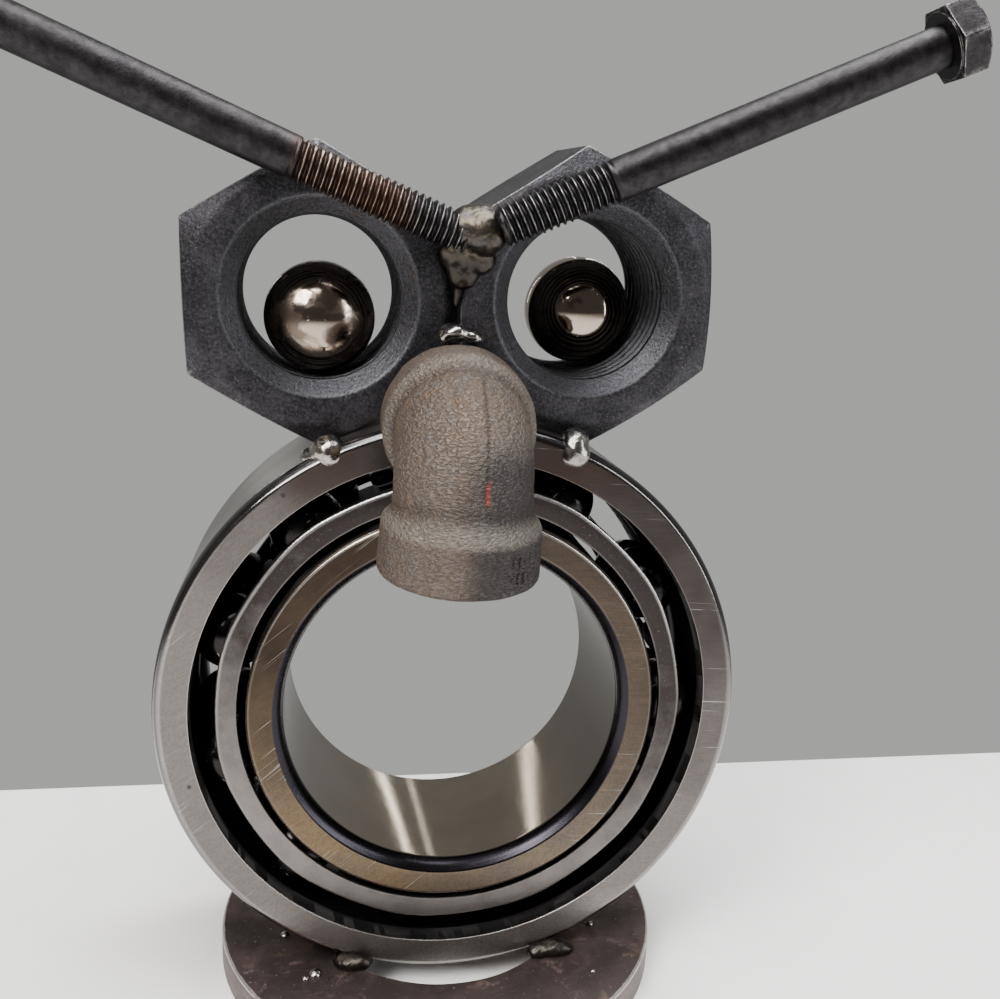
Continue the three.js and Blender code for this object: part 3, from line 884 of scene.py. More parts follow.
def rounded(
    corners: list,
    sizes: list[float],
    closed: bool = False,
    hold: float = 0.18,
    worn: list[float] | None = None,
) -> Profile:
    """Rounds the corners of a line of points.

    A corner P becomes the curve (1-t)^2 A + 2 t (1-t) P + t^2 B, where A and B lie
    on its two edges. One more point stands a little way beyond each of A and B, so
    that the flats beside the corner keep their own shading.

    Args:
        corners: The corner points, each (2,) or (columns, 2).
        sizes: Distance of A and B from each corner.
        closed: Whether the last corner is joined to the first.
        hold: Distance of the further points beyond A and B.
        worn: How worn each corner is, 1 where not given.

    Returns:
        The rounded profile, worn on its corners.
    """
    shape = np.broadcast_shapes(*[np.shape(c) for c in corners])
    points = np.stack([np.broadcast_to(np.asarray(c, float), shape) for c in corners])
    t = np.linspace(0, 1, 5).reshape((5,) + (1,) * len(shape))
    parts = []
    for i, size in enumerate(sizes):
        if not closed and i in (0, len(points) - 1):
            parts.append(Profile(points[i : i + 1], np.zeros(1)))
            continue
        at = points[i]
        back, ahead = points[i - 1] - at, points[(i + 1) % len(points)] - at
        lengths = [np.linalg.norm(v, axis=-1, keepdims=True) + 1e-9 for v in (back, ahead)]
        cut = np.minimum(size, CORNER_SHARE * np.minimum(*lengths))
        far = np.minimum(cut + hold, HOLD_SHARE * np.minimum(*lengths))
        back, ahead = back / lengths[0], ahead / lengths[1]
        curve = (1 - t) ** 2 * (at + back * cut) + 2 * t * (1 - t) * at + t**2 * (at + ahead * cut)
        whole = np.concatenate([(at + back * far)[None], curve, (at + ahead * far)[None]])
        parts.append(Profile(whole, (worn[i] if worn else 1.0) * CORNER_WEAR))
    total = parts[0]
    for part in parts[1:]:
        total = total + part
    return total


def lathe(profile: Profile, angles: Array, closed: bool = True, marks: dict | None = None) -> Sheet:
    """Carries a profile round the Y axis: x = r sin a, y = h, z = r cos a.

    Args:
        profile: Radius and height of each row.
        angles: Angle of each column from +Z towards +X, in radians.
        closed: Whether the last row is joined to the first.
        marks: Further values for each row, or for each row and column.

    Returns:
        The sheet, marked with wear, the run along the profile and the further values.
    """
    points = profile.points if profile.points.ndim == 3 else profile.points[:, None]
    shape = (len(points), len(angles))
    radius = np.broadcast_to(points[..., 0], shape)
    height = np.broadcast_to(points[..., 1], shape)
    xyz = np.stack([radius * np.sin(angles), height, radius * np.cos(angles)], axis=-1)
    steps = np.hypot(*(np.diff(line[:, 0], prepend=line[0, 0]) for line in (radius, height)))
    stored = {"wear": profile.wear, "run": np.cumsum(steps), **(marks or {})}
    for name, value in stored.items():
        stored[name] = np.broadcast_to(value if np.ndim(value) == 2 else value[:, None], shape)
    return Sheet(xyz, stored, closed)


def around(count: int) -> Array:
    """Evenly spaced angles round a full turn."""
    return np.arange(count) * TAU / count


def waves(points: Array, size: float, seed: int, count: int = 14) -> Array:
    """Smooth seeded noise from about -1 to 1: the mean of sines of k.p + phase.

    Args:
        points: Points in millimetres, of any shape ending in 3.
        size: Rough width of one lump in millimetres.
        seed: Seed of the directions and phases.
        count: Number of sines.

    Returns:
        One value for each point.
    """
    dice = np.random.default_rng(seed)
    k = dice.normal(size=(count, 3))
    k *= TAU / (2 * size) / np.linalg.norm(k, axis=1, keepdims=True) * dice.uniform(0.6, 1.5, (count, 1))
    return np.sin(points @ k.T + dice.uniform(0, TAU, count)).sum(axis=-1) / math.sqrt(count)


def uneven(points: Array, layers: tuple[tuple[float, float, int], ...]) -> Array:
    """Sum of layers of waves(), each with a height, a lump size and a seed."""
    return sum(height * waves(points, size, seed) for height, size, seed in layers)


def smooth(value: Array, low: float, high: float) -> Array:
    """3 t^2 - 2 t^3 for t = (value - low) / (high - low), held between 0 and 1."""
    t = np.clip((value - low) / (high - low), 0, 1)
    return t * t * (3 - 2 * t)


def corner_half(flats: float, round_off: float) -> float:
    """Angle from a hexagon's corner to the start of its flat, seen from the middle.

    The rounding starts t = r tan 30 from the corner along the flat, and the corner is
    c from the middle, so the angle's tangent is t sin 60 / (c - t cos 60).

    Args:
        flats: Distance across the flats.
        round_off: Radius of the corners.

    Returns:
        The angle in radians.
    """
    touch = round_off * math.tan(TAU / 12)
    corner = flats / 2 / math.cos(TAU / 12)
    return math.atan2(touch * math.sin(TAU / 6), corner - touch * math.cos(TAU / 6))


def hexagon(angles: Array, flats: float, round_off: float) -> Array:
    """Radius of a hexagon with a corner at angle 0 and rounded corners.

    On a flat r = a / cos(angle from the flat's middle). Near a corner r is where the
    ray leaves a circle of radius round_off that touches both flats.

    Args:
        angles: Angles in radians.
        flats: Distance across the flats.
        round_off: Radius of the corners.

    Returns:
        The radius at each angle.
    """
    apothem = flats / 2
    to_flat = np.mod(angles, TAU / 6) - TAU / 12
    flat = apothem / np.cos(to_flat)
    psi = TAU / 12 - np.abs(to_flat)
    middle = (apothem - round_off) / math.cos(TAU / 12)
    inside = np.maximum(round_off**2 - (middle * np.sin(psi)) ** 2, 0)
    near = psi < corner_half(flats, round_off)
    return np.where(near, middle * np.cos(psi) + np.sqrt(inside), flat)


def hexagon_angles(flats: float, round_off: float, across: int) -> Array:
    """Angles for a hexagon, close together at its corners.

    Args:
        flats: Distance across the flats.
        round_off: Radius of the corners.
        across: Number of angles along each flat.

    Returns:
        Angles in radians from 0 to a full turn.
    """
    limit = corner_half(flats, round_off)
    sector = TAU / 6
    near = np.linspace(0, limit, 4)
    flat = np.linspace(limit * 1.25, sector - limit * 1.25, across)
    one = np.concatenate([near, flat, sector - near[:0:-1]])
    return (np.arange(6)[:, None] * sector + one).ravel()


def spread(rows: list[tuple[float | Array, float | Array]], columns: Array) -> list[Array]:
    """Rows of radius and height, each widened to as many columns as are given."""
    return [np.stack([radius + 0 * columns, height + 0 * columns], axis=-1) for radius, height in rows]


def rotation(degrees: float, axis: str) -> Matrix:
    """A turn about one axis."""
    return Matrix.Rotation(math.radians(degrees), 4, axis)


def thread_form(height: Array, angles: Array, pitch: float, flat: float, flank: float) -> Array:
    """A screw thread as a V with flattened crest and root: (|2 f - 1| - flat) / flank.

    Args:
        height: Heights along the axis.
        angles: Angles round it.
        pitch: Height of one turn.
        flat: Half width of the root, as a share of the pitch.
        flank: Width of a flank, as a share of half the pitch.

    Returns:
        0 at the root to 1 at the crest, where f is the fraction of a turn,
        height / pitch - angle / 2 pi.
    """
    turn = np.mod(height / pitch - angles / TAU, 1.0)
    return np.clip((np.abs(2 * turn - 1) - flat) / flank, 0, 1)


@dataclass(frozen=True)
class Bench:
    """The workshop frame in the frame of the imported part."""

    origin: Array
    axis: float

    @classmethod
    def from_part(cls) -> "Bench":
        """Finds the washer's centre and the height of the bearing's axis.

        Returns:
            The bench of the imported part.
        """
        low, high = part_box("base_washer")
        ring_low, ring_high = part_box("outer_ring")
        origin = np.array([(low.x + high.x) / 2, (low.y + high.y) / 2, 0.0]) / MM
        return cls(origin, (ring_low.z + ring_high.z) / 2 / MM)

    def metres(self, points: Array) -> Array:
        """Workshop millimetres to metres in the part's frame."""
        return (points + self.origin) * MM

    def to_axis(self) -> Matrix:
        """Move that lifts a piece built about the Y axis onto the bearing's axis."""
        return Matrix.Translation((0, 0, self.axis))


class Maker:
    """Turns sheets into pieces that ride on the part."""

    def __init__(self, bench: Bench) -> None:
        """Keeps the bench and counts the faces made."""
        self.bench = bench
        self.faces = 0

    def mesh(self, name: str, sheets: list[Sheet]) -> bpy.types.Object:
        """Builds one smooth, closed mesh object from sheets.

        Args:
            name: Name of the object.
            sheets: Its surfaces.

        Returns:
            The object, at the origin, with its doubles merged and its faces outward.
        """
        points = self.bench.metres(np.concatenate([s.points.reshape(-1, 3) for s in sheets]))
        firsts = np.cumsum([0] + [s.points.shape[0] * s.points.shape[1] for s in sheets])
        quads = np.concatenate([s.faces(int(n)) for s, n in zip(sheets, firsts)])
        data = bpy.data.meshes.new(name)
        data.vertices.add(len(points))
        data.vertices.foreach_set("co", points.astype(np.float32).ravel())
        data.loops.add(quads.size)
        data.loops.foreach_set("vertex_index", quads.astype(np.int32).ravel())
        data.polygons.add(len(quads))
        data.polygons.foreach_set("loop_start", np.arange(0, quads.size, 4, dtype=np.int32))
        data.update(calc_edges=True)
        for key in sorted({k for s in sheets for k in s.marks}):
            values = [np.broadcast_to(s.marks.get(key, 0.0), s.points.shape[:2]).ravel() for s in sheets]
            layer = data.attributes.new(key, "FLOAT", "POINT")
            layer.data.foreach_set("value", np.concatenate(values).astype(np.float32))
        work = bmesh.new()
        work.from_mesh(data)
        bmesh.ops.remove_doubles(work, verts=work.verts, dist=2e-6)
        bmesh.ops.recalc_face_normals(work, faces=work.faces)
        work.to_mesh(data)
        work.free()
        data.polygons.foreach_set("use_smooth", np.ones(len(data.polygons), dtype=bool))
        made = bpy.data.objects.new(name, data)
        bpy.context.scene.collection.objects.link(made)
        self.faces += len(data.polygons)
        return made

    def piece(
        self,
        name: str,
        sheets: list[Sheet],
        material: bpy.types.Material,
        body: str,
        nodes: list[str],
    ) -> None:
        """Builds a piece, dresses it and hangs it on the part.

        Args:
            name: Name of the piece.
            sheets: Its surfaces.
            material: Its material.
            body: The body it moves with.
            nodes: Solids that it stands for.
        """
        made = self.mesh(name, sheets)
        made.data.materials.append(material)
        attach(made, body)
        if nodes:
            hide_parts(*nodes)
        LOG.info("%s: %d faces on %s", name, len(made.data.polygons), body)


# Sub-assemblies


@dataclass
class Washer:
    """The flat washer that the owl stands on."""

    radius: float = 53.0
    hole: float = 30.5
    thickness: float = 8.0
    edge: float = 0.9
    hole_edge: float = 0.6
    dents: tuple[tuple[float, float, int], ...] = ((0.05, 9.0, 3),)
    inside_rim: float = 0.02

    def build(self, maker: Maker) -> None:
        """Makes the washer, with its top and edges slightly uneven.

        Args:
            maker: Makes the piece.
        """
        r, h, t = self.radius, self.hole, self.thickness
        section = rounded([(h, 0), (r, 0), (r, t), (h, t)], [self.edge] * 3 + [self.hole_edge], True)
        sheet = lathe(section, around(256)).moved(rotation(90, "X"))
        level = sheet.points[..., 2] + uneven(sheet.points, self.dents)
        sheet.points[..., 2] = np.clip(level, 0, t)
        rim = np.hypot(sheet.points[..., 0], sheet.points[..., 1])
        sheet.points[..., :2] *= np.minimum(1, (r - self.inside_rim) / rim)[..., None]
        maker.piece("washer_foot", [sheet], WasherScale().material(), "frame", ["base_washer"])


@dataclass
class Bearing:
    """The double-row ball bearing: two rings, two cages and the balls."""

    bore: float = 37.5
    outside: float = 65.0
    half: float = 20.65
    inner_land: float = 45.44
    outer_land: float = 57.36
    outer_chamfer: float = 1.5
    inner_chamfer: float = 0.6
    front_bore: tuple[float, float] = (2.97, 2.17)
    back_bore: tuple[float, float] = (1.17, 0.9)
    pitch: float = 51.4
    ball: float = 8.4
    clearance: float = 0.7
    count: int = 11
    row: float = 9.25
    turns: dict[Row, float] = field(default_factory=lambda: {Row.FRONT: 0.46, Row.BACK: 0.54})
    cage_inner: float = 47.3
    cage_outer: float = 52.6
    cage_recess: float = 1.4
    cage_plate: float = 1.1
    cage_rim: float = 3.4
    cage_wave: float = 0.62
    finger_reach: float = 14.0
    finger_width: float = 6.4

    def groove(self, row: Row, land: float, outward: bool) -> Profile:
        """A ball track: radius = pitch +- g cos t, height = row + g sin t.

        Args:
            row: The row of balls that runs in it.
            land: Radius where the track starts and ends.
            outward: Whether the track is cut outward, as in the outer ring.

        Returns:
            The profile from the front end of the track to its back end.
        """
        g = self.ball + self.clearance
        open_angle = math.acos(abs(land - self.pitch) / g)
        t = np.linspace(-open_angle, open_angle, 15)
        radius = self.pitch + (g if outward else -g) * np.cos(t)
        return plain(np.stack([radius, row.value * self.row + g * np.sin(t)], axis=-1))

    def outer_ring(self, bench: Bench) -> Sheet:
        """The outer ring: chamfered rim, flat faces, two tracks inside.

        Args:
            bench: The workshop frame.

        Returns:
            The ring, marked where it is outer wall, the worn chamfer band, and the tracks, which are darkened
            with grease and painted shade.
        """
        b, o, land, c = self.half, self.outside, self.outer_land, self.outer_chamfer
        lip, hold = 0.45, 0.5
        inside = plain([(land, -b + lip)]) + self.groove(Row.FRONT, land, True)
        inside = inside + self.groove(Row.BACK, land, True) + plain([(land, b - lip)])
        back = [(land, b - hold), (land, b), (o - c, b), (o, b - c)]
        skin = rounded(
            back + [(radius, -height) for radius, height in back[::-1]],
            [0, 0.3, 0.55, 0.9, 0.9, 0.55, 0.3, 0],
            worn=[0, 0.7, 0.5, 0.35, 0.35, 0.5, 0.7, 0],
        )
        whole = inside + skin
        radius, level = whole.points[:, 0], np.abs(whole.points[:, 1])
        barrel = (level < b - 0.4).astype(float)
        band = ((level > b - c - 0.7) & (level < b - 0.05) & (radius > o - c - 0.1)).astype(float)
        # The tracks inside are darkened: grease and painted shade.
        oily = ((radius > land + 0.05) & (radius < self.pitch + 9.2)).astype(float)
        oily = np.where(np.arange(len(oily)) < len(inside.wear), np.maximum(oily, 0.92), 0)
        sheet = lathe(whole, around(288), True, {"barrel": barrel, "oily": oily, "mouth": band})
        return sheet.moved(bench.to_axis())

    def inner_ring(self, bench: Bench) -> Sheet:
        """The inner ring: bore with a deep front chamfer, two tracks outside.

        Args:
            bench: The workshop frame.

        Returns:
            The ring, marked where it is bore, mouth of the bore, and the tracks, which are darkened with
            grease and painted shade.
        """
        b, land, c = self.half, self.inner_land, self.inner_chamfer
        depth, rise = self.front_bore
        back_depth, back_rise = self.back_bore
        outside = plain([(land, -b + c + 0.4)]) + self.groove(Row.FRONT, land, False)
        outside = outside + self.groove(Row.BACK, land, False) + plain([(land, b - c - 0.4)])
        skin = rounded(
            [
                (land, b - c - 0.3),
                (land, b - c),
                (land - c, b),
                (self.bore + back_rise, b),
                (self.bore, b - back_depth),
                (self.bore, depth - b),
                (self.bore + rise * 0.35, depth * 0.45 - b),
                (self.bore + rise, -b),
                (land - c, -b),
                (land, c - b),
                (land, c + 0.3 - b),
            ],
            [0, 0.2, 0.25, 0.3, 0.3, 0.6, 0.8, 0.35, 0.25, 0.2, 0],
            worn=[0, 0.5, 1, 0.5, 0.2, 0, 0, 0.1, 1, 0.5, 0],
        )
        whole = outside + skin
        radius, height = whole.points[:, 0], whole.points[:, 1]
        in_bore = (radius < self.bore + 0.2).astype(float)
        mouth = ((radius < self.bore + rise + 0.12) & (height < depth - b + 0.3)).astype(float)
        # The tracks outside are darkened: grease and painted shade.
        oily = np.where(np.arange(len(radius)) < len(outside.wear), 0.92, 0)
        marks = {"barrel": in_bore, "oily": oily, "mouth": mouth}
        return lathe(whole, around(288), True, marks).moved(bench.to_axis())

    def cage(self, bench: Bench, row: Row) -> list[Sheet]:
        """One cage: a cupped ring with a softly cornered rim, and its fingers.

        The rim's radius is R - w (1 - c + 0.35 s), where c runs from 0 in the middle
        of each side to 1 at a corner over each ball, as 1 / cos does along a flat,
        and s, smooth from 0 to 1 over the outer half of c, softens the corner.

        Args:
            bench: The workshop frame.
            row: Which row of balls it holds.

        Returns:
            The ring and one sheet for each finger.
        """
        way = row.value
        face = self.half - self.cage_recess
        angles = around(286)
        half_side = TAU / self.count / 2
        off = np.mod(angles - self.turns[row], 2 * half_side) - half_side
        flat = (1 / np.cos(off) - 1) / (1 / math.cos(half_side) - 1)
        dip = self.cage_wave * (1 - flat + 0.35 * smooth(flat, 0.5, 1.0))
        inner, outer, plate, rim = self.cage_inner, self.cage_outer, self.cage_plate, self.cage_rim

        def at(radius: float, depth: float, follow: float) -> Array:
            """A corner of the section, which follows the rim's waves by a share."""
            heights = np.full(len(angles), way * (face - depth))
            return np.stack([radius - follow * dip, heights], axis=-1)

        corners = [
            at(inner, 0.12, 0),
            at((inner + outer) / 2, 0, 0),
            at(outer, 0.12, 1),
            at(outer, rim, 1),
            at(outer - plate, rim, 1),
            at(outer - plate, plate + 0.3, 1),
            at(inner, plate + 0.25, 0),
        ]
        worn = [0.25, 0.0, 1.0, 0.0, 0.0, 0.0, 0.0]
        section = rounded(corners, [0.3, 2.0, 0.75, 0.4, 0.4, 0.9, 0.4], True, 0.25, worn)
        depth = face - way * section.points[:, 0, 1]
        # The cage darkens deeper into the bearing: grease and painted shade.
        ring = lathe(section, angles, True, {"oily": smooth(depth, 1.1, 2.2) * 0.9})
        return [s.moved(bench.to_axis()) for s in [ring, *self.fingers(row)]]

    def fingers(self, row: Row) -> list[Sheet]:
        """Fingers between the balls: rounded bars, |x/a|^4 + |z/c|^4 = 1 across.

        Args:
            row: Which row of balls they hold.

        Returns:
            One closed sheet for each finger.
        """
        way = row.value
        face = self.half - self.cage_recess - self.cage_plate / 2
        t = around(24)
        a, c = self.finger_width / 2, (self.cage_outer - self.cage_inner) / 2 - 0.8
        edge = (np.abs(np.cos(t)) ** 4 + np.abs(np.sin(t)) ** 4) ** -0.25
        run = np.array([0.0, 0.0, 0.4, 1.5, 4, 8, 11.5, 13.2, 13.8, 14.0, 14.0]) / 14.0 * self.finger_reach
        size = np.array([0.0, 0.95, 1, 1, 0.94, 0.9, 0.9, 0.86, 0.7, 0.45, 0.0])
        x = size[:, None] * a * edge * np.cos(t)
        z = size[:, None] * c * edge * np.sin(t) + (self.cage_inner + self.cage_outer) / 2
        y = np.broadcast_to((way * (face - run))[:, None], x.shape)
        # The fingers are darkened all over: grease and painted shade.
        bar = Sheet(np.stack([x, y, z], axis=-1), {"oily": np.ones(x.shape)})
        spots = (np.arange(self.count) + 0.5) * TAU / self.count + self.turns[row]
        return [bar.moved(Matrix.Rotation(spot, 4, "Y")) for spot in spots]

    def balls(self, bench: Bench, row: Row) -> list[Sheet]:
        """The balls of one row, spaced evenly on the pitch circle.

        Args:
            bench: The workshop frame.
            row: Which row they are in.

        Returns:
            One sheet for each ball.
        """
        spots = np.arange(self.count) * TAU / self.count + self.turns[row]
        centres = [(self.pitch * math.sin(a), row.value * self.row, self.pitch * math.cos(a)) for a in spots]
        return [ball_sheet(self.ball, 48, 25).moved(bench.to_axis() @ Matrix.Translation(c)) for c in centres]

    def build(self, maker: Maker) -> None:
        """Makes the rings, cages and balls.

        Args:
            maker: Makes the pieces.
        """
        bench = maker.bench
        ring, race = GroundSteel().material(), RaceSteel().material()
        maker.piece("bearing_outer", [self.outer_ring(bench)], ring, "frame", ["outer_ring"])
        maker.piece("bearing_inner", [self.inner_ring(bench)], race, "race", ["inner_ring"])
        cage = CageSteel().material()
        # The balls are near black: grease, and painted shade inside the bearing.
        balls = Polished("bearing_ball", (0.022, 0.020, 0.020), (0.012, 0.011, 0.011), 0.14).material()
        for row in Row:
            name = row.name.lower()
            sheets, nodes = self.cage(bench, row), [f"cage_{name}"]
            maker.piece(f"bearing_cage_{name}", sheets, cage, "rolling", nodes)
            sheets, nodes = self.balls(bench, row), [f"ball_{name}_{i + 1:02d}" for i in range(self.count)]
            maker.piece(f"bearing_balls_{name}", sheets, balls, "rolling", nodes)


def directions(t: Array, a: Array) -> Array:
    """Directions at angle t from +Z and angle a round it: (sin t cos a, sin t sin a, cos t)."""
    return np.stack([np.sin(t) * np.cos(a), np.sin(t) * np.sin(a), np.cos(t) + 0 * a], axis=-1)


def ball_sheet(radius: float, columns: int, rows: int) -> Sheet:
    """A ball: x = r sin t cos a, y = r sin t sin a, z = r cos t.

    Args:
        radius: Radius of the ball.
        columns: Points round it.
        rows: Points from pole to pole.

    Returns:
        The ball about zero.
    """
    t = np.linspace(0, math.pi, rows)[:, None]
    return Sheet(radius * directions(t, around(columns)[None]))


@dataclass
class EyeNut:
    """A hexagon nut with the ball that rests in its bore."""

    side: Side
    at: Point
    pitch: float
    yaw: float
    roll: float
    depth: float
    lean: float
    flats: float = 55.0
    thickness: float = 34.2
    bore: float = 17.0
    sink: float = 3.5
    bevel_inset: float = 1.5
    corner_round: float = 0.9
    thread_pitch: float = 3.0
    thread_depth: float = 1.5
    thread_flat: float = 0.12
    thread_flank: float = 0.76
    pupil: float = 12.0
    gap: float = 0.3
    haze: float = 0.5
    tint: Colour = (0.36, 0.30, 0.245)
    smudge: Colour = (0.085, 0.058, 0.045)

    def place(self) -> Matrix:
        """Move from the nut's own frame: turned about Y, then X, then Z, then set down."""
        turn = rotation(self.yaw, "Z") @ rotation(self.pitch, "X") @ rotation(self.roll, "Y")
        return Matrix.Translation(self.at) @ turn

    def nut(self, bench: Bench, ring: Bearing) -> Sheet:
        """The nut: bevelled hexagon outside, thread between two countersinks inside.

        A row's radius runs out to the hexagon R(a) behind a 30 degree bevel that
        starts at the bevel circle. In the bore r = b + d (1 - v), where v is the
        thread form. What would reach into the bearing is pushed out to the
        bearing's own radius, as it is ground.

        Args:
            bench: The workshop frame.
            ring: The bearing that the nut stands on.

        Returns:
            The nut's sheet.
        """
        angles = hexagon_angles(self.flats, self.corner_round, 30)
        edge = hexagon(angles, self.flats, self.corner_round)
        t, sink, bore = self.thickness, self.sink, self.bore
        bevel = self.flats / 2 - self.bevel_inset
        rise = (edge - bevel) * math.tan(TAU / 12)
        low = [(bore, sink + 0.6), (bore, sink), (bore + sink, 0), (bevel, 0), (edge, rise)]
        corners = spread(low + [(radius, t - height) for radius, height in low[::-1]], edge)
        worn = [0, 0.3, 0.45, 0.5, 1, 1, 0.5, 0.45, 0.3, 0]
        skin = rounded(corners, [0, 0.5, 0.7, 0.9, 0.40, 0.40, 0.9, 0.7, 0.5, 0], worn=worn)
        begins, full = sink + 0.7, sink + 2.6
        height = np.linspace(t - begins, begins, 128)[:, None]
        crest = thread_form(height, angles, self.thread_pitch, self.thread_flat, self.thread_flank)
        ends = smooth(height, begins, full) * smooth(t - height, begins, full)
        radius = bore + self.thread_depth * (1 - crest) * ends
        thread = Profile(np.stack([radius, height + 0 * radius], axis=-1), np.zeros(len(height)))
        whole = skin + thread
        mean = whole.points[:, 0]
        machined = ((mean[:, 0] > bore - 0.1) & (mean[:, 0] < bore + sink + 0.15)).astype(float)
        crest = np.pad(crest * ends, ((len(skin.wear), 0), (0, 0)))
        upright = smooth(np.cos(6 * angles), 0.985, 1.0) * smooth(whole.points[..., 0], bevel, bevel + 1.5)
        wear = np.maximum(np.maximum(whole.wear[:, None], upright * 0.8), crest * 0.35)
        sheet = lathe(whole, angles, True, {"machined": machined * 0.9, "wear": wear}).moved(self.place())
        p = sheet.points
        seat = ring.outside + 0.12
        away = np.hypot(p[..., 0], p[..., 2] - bench.axis)
        push = np.where((away < seat) & (np.abs(p[..., 1]) < ring.half + 0.3), seat / away, 1)
        p[..., 0] *= push
        p[..., 2] = bench.axis + (p[..., 2] - bench.axis) * push
        return sheet

    def pupil_ball(self) -> Sheet:
        """The ball, resting on the thread of the bore, its back half darkened with grease and painted shade
        for the dark bore it reflects.

        Its middle is d (sin a, -cos a) off the bore's axis, where a is how far it
        leans and d the room between ball and bore.

        Returns:
            The ball's sheet.
        """
        drop = self.bore - self.pupil - self.gap
        lean = math.radians(self.lean)
        centre = (drop * math.sin(lean), self.depth, -drop * math.cos(lean))
        ball = ball_sheet(self.pupil, 128, 65)
        # The back of the ball is darkened: grease, and painted shade for the dark bore it reflects.
        ball.marks["oily"] = smooth(ball.points[..., 1], self.pupil * 0.02, self.pupil * 0.3)
        return ball.moved(self.place() @ Matrix.Translation(centre))

    def build(self, maker: Maker, ring: Bearing, black: bpy.types.Material) -> None:
        """Makes the nut and its ball.

        Args:
            maker: Makes the pieces.
            ring: The bearing that the nut stands on.
            black: The nut's material.
        """
        name = self.side.name.lower()
        bright = Polished(f"pupil_{name}_polish", self.tint, self.smudge, 0.06, self.haze).material()
        nut = self.nut(maker.bench, ring)
        maker.piece(f"eye_nut_{name}", [nut], black, "frame", [f"{name}_nut"])
        maker.piece(f"pupil_{name}", [self.pupil_ball()], bright, "frame", [f"{name}_eye"])


